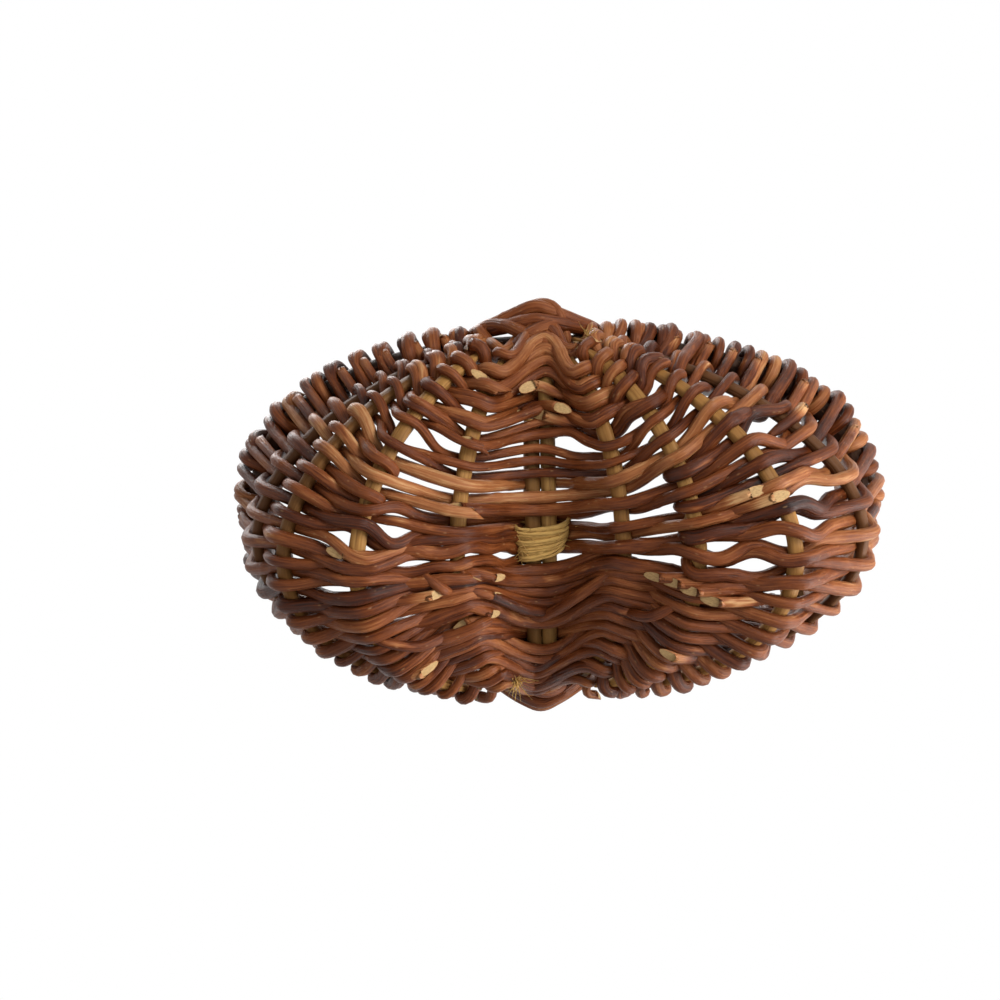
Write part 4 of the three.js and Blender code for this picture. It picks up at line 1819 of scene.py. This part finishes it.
@dataclass
class EarWrap:
    """A willow rod crossed over an ear, and the strands packed round it.

    Attributes:
        front_share: How far up and across the rod is where it passes in front, as a share.
        back_share: How far up it is where it passes behind, as a share.
        inner_share: How far out it is where it leaves the rim, as a share.
        root: Place out and level at which a strand starts, inside the rim.
        crest: Place out and level at which it passes over the rim.
        bands: Reach, and place out and level of the middle, of each strand over the hoop.
        band_spread: How much wider than its reach a band is at its root and at its crest.
        band_brow: Place out and level at which a band leaves the rim.
        band_shares: Shares of its reach, of the way out and of its level, on from there.
        slants: Reach, and place out and level of the middle, of each strand that slants below the bands.
        slant_spread: How much wider than its reach a slanting strand is at its root and at its crest.
        slant_brow: Place out and level at which it leaves the rim.
        slant_upper: Share of its reach, place out and share of its level, on from there.
        slant_lower: Share of its reach, length out from its middle and share of its level, next.
        slant_tail: Places of its last points, from its middle.
        back_thrust: How much further out the bands stand at the back ear.
    """

    bowl: Bowl
    ear: Ear
    radius: float = 2.0
    seed: float = 7.0
    tone: float = 0.7
    sides: int = 12
    step: float = 1.2
    wobble: float = 0.08
    slant: float = 1.2
    front_share: float = 0.6
    back_share: float = 0.5
    inner_share: float = 1.0 / 3.0
    strand_radius: float = 2.6
    strand_seed: float = 11.0
    strand_wobble: float = 0.12
    strand_wander: float = 0.4
    tones: tuple[float, ...] = (0.55, 0.7, 0.62, 0.8, 0.5)
    root: tuple[float, float] = (57.0, -1.0)
    crest: tuple[float, float] = (63.0, 6.2)
    bands: tuple[tuple[float, float, float], ...] = ((22.0, 77.2, -3.5), (19.0, 73.4, -9.0))
    band_spread: tuple[float, float] = (4.0, 3.0)
    band_brow: tuple[float, float] = (67.4, 2.0)
    band_shares: tuple[tuple[float, float, float], ...] = ((0.6, 0.45, 0.6), (0.25, 0.8, 0.95))
    slants: tuple[tuple[float, float, float], ...] = ((18.0, 66.8, -16.5), (14.0, 69.4, -13.5))
    slant_spread: tuple[float, float] = (6.0, 5.0)
    slant_brow: tuple[float, float] = (70.5, 1.5)
    slant_upper: tuple[float, float, float] = (0.55, 71.0, 0.45)
    slant_lower: tuple[float, float, float] = (0.2, 1.5, 0.85)
    slant_tail: tuple[tuple[float, float, float], ...] = (
        (2.0, 0.0, 0.0),
        (7.0, -4.0, -2.0),
        (11.0, -10.0, -1.0),
    )
    back_thrust: float = 3.4

    def path(self) -> list[Vector]:
        """The wrap's centreline.

        Returns:
            Its points.
        """
        bowl, side = self.bowl, self.ear.value
        layer = bowl.wrap_diameter + bowl.turn_gap
        front = bowl.ear_offset + bowl.hoop_radius + bowl.wrap_radius + bowl.clearance
        back = -bowl.rim_radius - bowl.wrap_radius - bowl.clearance

        def at(x: float, up: float, depth: float) -> Vector:
            """A point at a place across, up and out from the ear."""
            y = side * (bowl.rim_half_width + depth)
            return Vector((x - side * bowl.lap_offset, y, up * bowl.wrap_rise))

        points = []
        for hand in (1, -1):
            top = hand * bowl.wrap_reach
            depth = front if hand > 0 else front + layer
            points += [
                at(-top, -1.0, 0.0),
                at(-top, -1.0, front * self.inner_share),
                at(-self.front_share * top, -self.front_share, depth),
                at(self.front_share * top, self.front_share, depth),
                at(top, 1.0, front * self.inner_share),
                at(top, 1.0, 0.0),
                at(top, self.back_share, back),
                at(top if hand > 0 else top + layer, -self.back_share, back),
            ]
        return points

    def build(self, centre: Vector) -> None:
        """Makes and dresses the wrap and its strands.

        Args:
            centre: Where the middle of the rim is, in metres.
        """
        name = self.ear.name.lower()
        node = f"ear_wrap_{name}"
        rod = Rod(
            node + "_willow", self.path(), self.radius, self.seed + self.ear.value, self.tone,
            sides=self.sides, step=self.step, rounds=2, wobble=self.wobble, slant=self.slant,
        )
        settle(rod.piece(Finish.BARK, centre), "willow_bark", node)
        for number, path in enumerate(self.strands(), start=1):
            strand = Rod(
                f"ear_strand_{name}_{number}", path, self.strand_radius,
                self.strand_seed * number + self.ear.value, self.tones[number % len(self.tones)],
                sides=self.sides, step=self.step, rounds=3, wobble=self.strand_wobble, slant=self.slant,
                wander=self.strand_wander,
            )
            settle(strand.piece(Finish.BARK, centre), "willow_bark")

    def strands(self) -> list[list[Vector]]:
        """The strands packed round the crossed wrap: bands over the hoop, and slanting ones below them.

        Returns:
            The centreline of each strand.
        """
        side = self.ear.value
        thrust = self.back_thrust if self.ear is Ear.BACK else 0.0
        paths = []
        for reach, top, level in self.bands:
            peak = top + thrust
            half = [
                (reach + self.band_spread[0], *self.root),
                (reach + self.band_spread[1], *self.crest),
                (reach, *self.band_brow),
            ]
            brow = self.band_brow[0]
            half += [(u * reach, lerp(brow, peak, v), w * level) for u, v, w in self.band_shares]
            points = [(-x, y, z) for x, y, z in half] + [(0.0, peak, level)] + half[::-1]
            paths.append([Vector((x, side * y, z)) for x, y, z in points])
        for hand, (reach, peak, level) in zip((1, -1), self.slants):
            upper, lower = self.slant_upper, self.slant_lower
            points = [
                (-reach - self.slant_spread[0], *self.root),
                (-reach - self.slant_spread[1], *self.crest),
                (-reach, *self.slant_brow),
                (-upper[0] * reach, upper[1], upper[2] * level),
                (-lower[0] * reach, peak + lower[1], lower[2] * level),
            ]
            points += [(x, peak + y, level + z) for x, y, z in self.slant_tail]
            paths.append([Vector((hand * x, side * y, z)) for x, y, z in points])
        return paths


@dataclass
class FibreMaker:
    """Makes loose fibres of twine, each one bent its own way.

    Attributes:
        dice: Where their chances come from.
        lengths: Least and greatest length, as shares of the reach.
        knee: Where a fibre starts to curl, as a share of its length.
        end: How far it gets in its first direction, as a share.
        curl: How far it curls aside, as a share.
        thinned: How much of it thins to the tip, as a share.
    """

    dice: random.Random
    lengths: tuple[float, float] = (0.35, 1.0)
    half_widths: tuple[float, float] = (0.13, 0.2)
    seeds: tuple[float, float] = (0.0, 50.0)
    tone: float = 1.0
    knee: float = 0.5
    end: float = 0.85
    curl: float = 0.35
    thinned: float = 0.5
    tip: float = 0.3
    sides: int = 3
    step: float = 0.7

    def direction(self) -> Vector:
        """Any direction."""
        return Vector([self.dice.gauss(0.0, 1.0) for _ in range(3)]).normalized()

    def fibre(self, start: Vector, lean: Vector, reach: float) -> Rod:
        """A loose fibre.

        Args:
            start: Where it leaves the twine.
            lean: The direction that it leans in, longer for a stronger lean.
            reach: Its greatest length.

        Returns:
            The fibre's rod.
        """
        way = (self.direction() + lean).normalized()
        aside = self.direction()
        length = reach * self.dice.uniform(*self.lengths)
        path = [
            start,
            start + way * length * self.knee,
            start + way * length * self.end + aside * length * self.curl,
        ]
        half_width, seed = self.dice.uniform(*self.half_widths), self.dice.uniform(*self.seeds)
        return Rod(
            "fibre", path, half_width, seed, self.tone, sides=self.sides, step=self.step, rounds=2,
            thin_end=self.thinned * length, tip=self.tip,
        )


@dataclass
class SpineLashing:
    """Turns of loose fibre twine round the lapped lengths of the hoop.

    Attributes:
        strands: How many strands of fibre lie side by side in a turn.
        radius: Half the width of a strand.
        spread: Half the width of a turn.
        bulk: How far the first turn stands off the hoop at its sides.
        sag: How far the middle of a turn hangs towards the back.
        skew: How far the last turn climbs from left to right.
        layers: How far the outermost strands lie over the innermost ones.
        roundness: 1 for round turns, less for squarer ones.
        wave_steps: Length of a strand's waves, counted in steps.
        wave_along: How far they move it along the spine, as a share of its place.
        wave_seed: How far apart the waves of two strands are read.
        fibres: How many loose fibres stick out.
        fibre_layer: How far over the innermost strands they start.
        trails: How many more of them are long.
    """

    bowl: Bowl
    strands: int = 9
    radius: float = 0.66
    spread: float = 1.25
    bulk: float = 2.8
    sag: float = 1.8
    skew: float = 2.6
    steps_per_turn: int = 40
    layers: float = 1.2
    widths: tuple[float, float] = (0.7, 1.3)
    roundness: float = 0.75
    wave_steps: float = 9.0
    wave_out: float = 0.3
    wave_along: float = 0.5
    wave_seed: float = 3.7
    seed_step: float = 5.1
    sides: int = 6
    step: float = 0.8
    wobble: float = 0.4
    fibres: int = 110
    fibre_layer: float = 1.0
    fibre_reach: float = 6.0
    trails: int = 9
    trail_reach: float = 20.0
    trail_lean: tuple[float, float, float] = (0.4, 0.3, -1.0)
    dice: random.Random = field(default_factory=lambda: random.Random(17))

    def winding(self, spread: float, layer: float, seed: float) -> list[Vector]:
        """The centreline of one strand through all the turns.

        Args:
            spread: How far it lies from the middle of a turn.
            layer: How far it lies over the innermost strands.
            seed: Makes its small waves its own.

        Returns:
            Its points.
        """
        bowl = self.bowl
        half_a = bowl.hoop_diameter + self.radius + bowl.clearance
        half_b = bowl.hoop_radius + self.radius + bowl.clearance
        point, out, across, _ = bowl.frame_at(bowl.spine, bowl.lines[bowl.spine].length / 2.0)
        advance = across.cross(out)
        count = bowl.spine_turns * self.steps_per_turn
        points = []
        for n in range(count + 1):
            angle = 2.0 * math.pi * n / self.steps_per_turn
            c, s = math.cos(angle), math.sin(angle)
            wide, high = (math.copysign(abs(part) ** self.roundness, part) for part in (c, s))
            wave = noise.noise(Vector((n / self.wave_steps, seed, 0.0)))
            loose = self.bulk * (1.0 - n / count)
            place = point + across * (half_a + layer + loose) * wide
            place += out * (half_b + layer + self.wave_out * wave) * high
            turn = n / self.steps_per_turn - bowl.spine_turns / 2.0
            climb = self.skew * c * n / count
            shift = bowl.turn_pitch * turn + spread * (1.0 + self.wave_along * wave) - climb
            points.append(place + advance * (shift + self.sag * max(s, 0.0)))
        return points

    def build(self, centre: Vector) -> None:
        """Makes and dresses the lashing and its loose fibres.

        Args:
            centre: Where the middle of the rim is, in metres.
        """
        rods = []
        for number in range(self.strands):
            spread = lerp(-self.spread, self.spread, number / (self.strands - 1))
            path = self.winding(spread, self.layers * self.dice.random(), self.wave_seed * number)
            width = self.radius * self.dice.uniform(*self.widths)
            strand = Rod(
                "strand", path, width, self.seed_step * number, self.dice.random(), sides=self.sides,
                step=self.step, wobble=self.wobble,
            )
            rods.append(strand)
        settle(bundle("lashing_twine", rods, Finish.TWINE, centre), "twine", "lashing_spine")
        turns = self.winding(0.0, self.fibre_layer, 0.0)
        maker = FibreMaker(self.dice)
        groups = (
            (self.fibres, Vector(), self.fibre_reach),
            (self.trails, Vector(self.trail_lean), self.trail_reach),
        )
        loose = []
        for count, lean, reach in groups:
            loose += [maker.fibre(self.dice.choice(turns), lean, reach) for _ in range(count)]
        settle(bundle("lashing_fibres", loose, Finish.TWINE, centre), "twine")


@dataclass(frozen=True)
class Tuft:
    """A tuft of frayed twine.

    Attributes:
        row: The row that it lies at.
        line: The line that it lies at, which may lie between two lines.
        fibres: How many fibres it has.
        reach: Their greatest length.
    """

    row: float
    line: float
    fibres: int
    reach: float


@dataclass
class Frays:
    """Tufts of frayed twine that show between the weavers.

    Attributes:
        lift: How far outside the lines of the bowl a tuft starts.
        spread: How far to both sides of its middle its fibres start.
        depth: How far inside and outside it they start.
    """

    bowl: Bowl
    tufts: tuple[Tuft, ...] = (Tuft(31.75, 4.5, 42, 9.0), Tuft(-1.0, 7.6, 20, 6.0))
    lift: float = 4.0
    spread: float = 2.0
    depth: float = 1.0
    lean_out: float = 0.9
    lean_back: float = 0.5
    dice: random.Random = field(default_factory=lambda: random.Random(23))

    def build(self, centre: Vector) -> None:
        """Makes and dresses the tufts.

        Args:
            centre: Where the middle of the rim is, in metres.
        """
        maker = FibreMaker(self.dice)
        for number, tuft in enumerate(self.tufts, start=1):
            point, out, across = self.bowl.surface(tuft.row, tuft.line)
            root = point + out * self.lift
            lean = out * self.lean_out - across * self.lean_back
            rods = []
            for _ in range(tuft.fibres):
                start = root + across * self.dice.uniform(-self.spread, self.spread)
                start += out * self.dice.uniform(-self.depth, self.depth)
                rods.append(maker.fibre(start, lean, tuft.reach))
            settle(bundle(f"twine_fray_{number}", rods, Finish.TWINE, centre), "twine")


@dataclass
class CutEnds:
    """Cut ends of spliced weavers in the weave and on the rim, and rods laid over the weave.

    Attributes:
        ends: Runs of ends with their tone, and the way that they point along the row.
        stub_rows: Rows at which a rod ends on the rim, on both sides.
        stub_shift: How many rows further back those on the right are.
        stub_tones: Tones of those on the left and on the right.
        laid: Row and line of both ends, for each rod laid slantwise over the weave.
        radius: Half the width of a rod.
        length: Length of a rod with a cut end, counted in lines.
        slant: How far the cut leans, as a share of the radius.
        profile: Length back from the end, as a share, and place out of the bowl, for each of its points.
        floor_room: Least height of its centreline, as a share of the radius.
        tone_change: How far tones differ from rod to rod.
        laid_shares: Where the points of a laid rod are, as shares of its length.
    """

    bowl: Bowl
    ends: tuple[tuple[Run, int], ...] = (
        (Run((20.5, 6.5), (21.5, 7.2), 4, 0.8), -1),
        (Run((20.0, 4.4), (24.0, 4.3), 3, 0.7), 1),
        (Run((21.0, 3.7), (27.0, 3.3), 2, 1.2), 1),
        (Run((4.0, 4.8), (6.5, 5.0), 2, 1.2), -1),
        (Run((5.5, 5.4), (5.5, 5.4), 1, 0.8), 1),
        (Run((16.0, 7.7), (17.0, 7.9), 2, 1.3), 1),
        (Run((14.0, 9.2), (14.0, 9.2), 1, 1.5), 1),
        (Run((2.0, 3.7), (2.0, 3.7), 1, 1.3), -1),
        (Run((18.0, 2.8), (26.0, 7.0), 2, 1.3), -1),
    )
    stub_rows: tuple[float, ...] = (3.0, 5.3, 7.7, 9.4, 11.2, 13.1, 15.3, 18.4, 21.6, 24.5, 27.3)
    stub_inset: float = 0.12
    stub_shift: float = 0.7
    stub_tones: tuple[float, float] = (0.9, 1.1)
    laid: tuple[tuple[tuple[float, float], tuple[float, float]], ...] = (
        ((24.3, 4.75), (20.6, 6.1)),
        ((23.6, 5.3), (21.4, 3.9)),
        ((21.9, 3.9), (19.4, 3.6)),
        ((25.6, 6.1), (22.6, 6.9)),
        ((26.2, 3.8), (23.4, 2.9)),
    )
    radius: float = 1.9
    length: float = 0.75
    slant: float = 2.2
    profile: tuple[tuple[float, float], ...] = (
        (1.0, -1.5),
        (0.75, 0.5),
        (0.4, 3.6),
        (0.15, 5.4),
        (0.0, 6.2),
    )
    floor_room: float = 1.3
    sides: int = 12
    wobble: float = 0.1
    tone: float = 0.55
    tone_change: float = 0.2
    tone_step: float = 2.0
    seed_step: float = 3.7
    thinned: float = 8.0
    tip: float = 0.5
    laid_shares: tuple[float, ...] = (0.0, 0.15, 0.35, 0.5, 0.65, 0.85, 1.0)
    laid_foot: float = 1.0
    laid_rise: float = 5.2
    laid_tone: float = 0.5
    laid_seed_step: float = 2.3
    laid_tip: float = 0.6

    def laid_rod(self, number: int, start: tuple[float, float], end: tuple[float, float]) -> Rod:
        """A rod laid slantwise over the weave.

        Args:
            number: Its number.
            start: Row and line of its start.
            end: Row and line of its end.

        Returns:
            The rod.
        """
        path = []
        for share in self.laid_shares:
            point, out, _ = self.bowl.surface(lerp(start[0], end[0], share), lerp(start[1], end[1], share))
            path.append(point + out * (self.laid_foot + self.laid_rise * math.sin(math.pi * share)))
        seed = self.laid_seed_step * number
        tone = self.laid_tone + self.tone_change * math.sin(seed)
        return Rod(
            f"laid_rod_{number}", path, self.radius, seed, tone, sides=self.sides, wobble=self.wobble,
            thin_start=self.thinned, thin_end=self.thinned, tip=self.laid_tip,
        )

    def end_rod(self, number: int, place: tuple[float, float, float], way: int, floor: float) -> Rod:
        """A rod that comes out of the weave and ends in a cut.

        Args:
            number: Its number.
            place: Row, line and tone of its end.
            way: The way that it points along the row, 1 to the right and -1 to the left.
            floor: Height of the floor.

        Returns:
            The rod.
        """
        row, at, end_tone = place
        path = []
        for back, rise in self.profile:
            point, out, _ = self.bowl.surface(row, at - way * back * self.length)
            path.append(point + out * rise)
            path[-1].z = max(path[-1].z, floor + self.floor_room * self.radius)
        tone = self.tone + self.tone_change * math.sin(self.tone_step * number)
        return Rod(
            f"cut_end_{number:02d}", path, self.radius, self.seed_step * number, tone, end_tone=end_tone,
            sides=self.sides, rounds=3, wobble=self.wobble, slant=self.slant, showing=out,
            thin_start=self.thinned, tip=self.tip, floor=floor,
        )

    def build(self, centre: Vector) -> None:
        """Makes and dresses the ends and the laid rods.

        Args:
            centre: Where the middle of the rim is, in metres.
        """
        ends = [(place, way) for run, way in self.ends for place in run.places()]
        left, right = self.stub_tones
        ends += [((row, self.stub_inset, left), -1) for row in self.stub_rows]
        last = self.bowl.last - self.stub_inset
        ends += [((row + self.stub_shift, last, right), 1) for row in self.stub_rows]
        rods = [self.end_rod(number, *end, -centre.z / MM) for number, end in enumerate(ends, start=1)]
        rods += [self.laid_rod(number, *places) for number, places in enumerate(self.laid, start=1)]
        for rod in rods:
            settle(rod.piece(Finish.BARK, centre), "willow_bark")


# Studio

WHITE = (1.0, 1.0, 1.0, 1.0)


@dataclass(frozen=True)
class Lamp:
    """A soft square lamp that points at the basket.

    Attributes:
        offset: Where it stands from the middle of the rim, in metres.
        size: Its side, in metres.
        power: Its power, in watts.
    """

    name: str
    offset: tuple[float, float, float]
    size: float
    power: float

    def build(self, centre: Vector) -> None:
        """Makes the lamp.

        Args:
            centre: Where the middle of the rim is, in metres.
        """
        data = bpy.data.lights.new(self.name, "AREA")
        data.size = self.size
        data.energy = self.power
        made = add_object(self.name, data)
        made.location = centre + Vector(self.offset)
        made.rotation_mode = "QUATERNION"
        made.rotation_quaternion = (centre - made.location).to_track_quat("-Z", "Y")


@dataclass
class Studio:
    """The floor, the lamps, the white background and the camera, in metres and degrees.

    Attributes:
        lens: Focal length of the camera, in millimetres.
        elevation: How high it stands, below 0 under the basket.
        roll: How far it is turned round its own line of sight.
        slide: How far it is moved to its right and up.
    """

    floor_size: float = 6.0
    floor_colour: Colour = (0.80, 0.80, 0.79)
    floor_roughness: float = 0.9
    ambient: float = 0.15
    lamps: tuple[Lamp, ...] = (
        Lamp("key", (0.48, -0.44, -0.44), 0.45, 5.8),
        Lamp("fill", (-0.35, -0.10, -0.65), 0.5, 1.1),
        Lamp("top", (-0.35, -0.45, 0.95), 0.6, 10.0),
        Lamp("side", (0.60, 0.22, -0.16), 0.4, 5.5),
    )
    lens: float = 49.25
    distance: float = 0.52
    elevation: float = -74.0
    roll: float = 1.3
    slide: tuple[float, float] = (-0.0144, 0.003)
    nearest: float = 0.01

    def floor(self) -> None:
        """A pale floor that takes the basket's shadow and is seen from above only."""
        mesh = bmesh.new()
        bmesh.ops.create_grid(mesh, x_segments=1, y_segments=1, size=self.floor_size / 2.0)
        table = NodeTable("floor")
        table.dressed({"Base Color": (*self.floor_colour, 1.0), "Roughness": self.floor_roughness})
        nodes, links = table.tree.nodes, table.tree.links
        clear = nodes.new("ShaderNodeBsdfTransparent")
        below = nodes.new("ShaderNodeNewGeometry")
        choice = nodes.new("ShaderNodeMixShader")
        links.new(below.outputs["Backfacing"], choice.inputs["Fac"])
        links.new(table.shader.outputs["BSDF"], choice.inputs[1])
        links.new(clear.outputs["BSDF"], choice.inputs[2])
        output = next(n for n in nodes if n.type == "OUTPUT_MATERIAL")
        links.new(choice.outputs["Shader"], output.inputs["Surface"])
        data = to_data(mesh, "floor")
        data.materials.append(table.material)
        made = add_object("floor", data)
        made.visible_shadow = False
        made.visible_diffuse = False
        made.visible_glossy = False
        made.visible_transmission = False

    def background(self) -> None:
        """A white background, with a softer light from it on the object."""
        world = bpy.data.worlds.new("studio")
        bpy.context.scene.world = world
        world.use_nodes = True
        nodes, links = world.node_tree.nodes, world.node_tree.links
        nodes.clear()
        path = nodes.new("ShaderNodeLightPath")
        seen, soft = (nodes.new("ShaderNodeBackground") for _ in range(2))
        for light in (seen, soft):
            light.inputs["Color"].default_value = WHITE
        soft.inputs["Strength"].default_value = self.ambient
        choice = nodes.new("ShaderNodeMixShader")
        output = nodes.new("ShaderNodeOutputWorld")
        seen_by = path.outputs["Is Camera Ray"]
        for ray in ("Is Glossy Ray", "Is Transmission Ray"):
            either = nodes.new("ShaderNodeMath")
            either.operation = "MAXIMUM"
            links.new(seen_by, either.inputs[0])
            links.new(path.outputs[ray], either.inputs[1])
            seen_by = either.outputs["Value"]
        links.new(seen_by, choice.inputs["Fac"])
        links.new(soft.outputs["Background"], choice.inputs[1])
        links.new(seen.outputs["Background"], choice.inputs[2])
        links.new(choice.outputs["Shader"], output.inputs["Surface"])

    def camera(self, target: Vector) -> None:
        """The photograph's camera, under the basket.

        Args:
            target: The point on the spine at the height of the rim.
        """
        e, roll = math.radians(self.elevation), math.radians(self.roll)
        back = Vector((0.0, -math.cos(e), math.sin(e)))
        right = Vector((1.0, 0.0, 0.0))
        up = back.cross(right)
        turned_right = right * math.cos(roll) - up * math.sin(roll)
        turned_up = right * math.sin(roll) + up * math.cos(roll)
        place = target + back * self.distance + turned_right * self.slide[0] + turned_up * self.slide[1]
        data = bpy.data.cameras.new("camera")
        data.lens = self.lens
        data.clip_start = self.nearest
        made = add_object("camera", data)
        axes = Matrix((turned_right, turned_up, back)).transposed()
        made.matrix_world = Matrix.Translation(place) @ axes.to_4x4()
        bpy.context.scene.camera = made

    def build(self, centre: Vector) -> None:
        """Sets up the studio.

        Args:
            centre: Where the middle of the rim is, in metres.
        """
        bpy.context.scene.view_settings.view_transform = "Standard"
        self.floor()
        self.background()
        for lamp in self.lamps:
            lamp.build(centre)
        self.camera(centre)


def main() -> None:
    """Builds the basket's pieces in order, then the studio."""
    logging.basicConfig(level=logging.INFO, format="%(name)s: %(message)s")
    noise.seed_set(NOISE_SEED)
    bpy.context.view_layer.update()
    bowl = Bowl()
    low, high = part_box("rim_hoop")
    centre = Vector(((bowl.left_reach - bowl.right_reach) / 2.0 * MM, 0.0, (low.z + high.z) / 2.0))
    RimHoop(bowl).build(centre)
    HandleHoop(bowl).build(centre)
    Ribs(bowl).build(centre)
    Weavers(bowl).build(centre)
    for ear in Ear:
        EarWrap(bowl, ear).build(centre)
    SpineLashing(bowl).build(centre)
    Frays(bowl).build(centre)
    CutEnds(bowl).build(centre)
    Studio().build(centre)


if __name__ == "__main__":
    main()
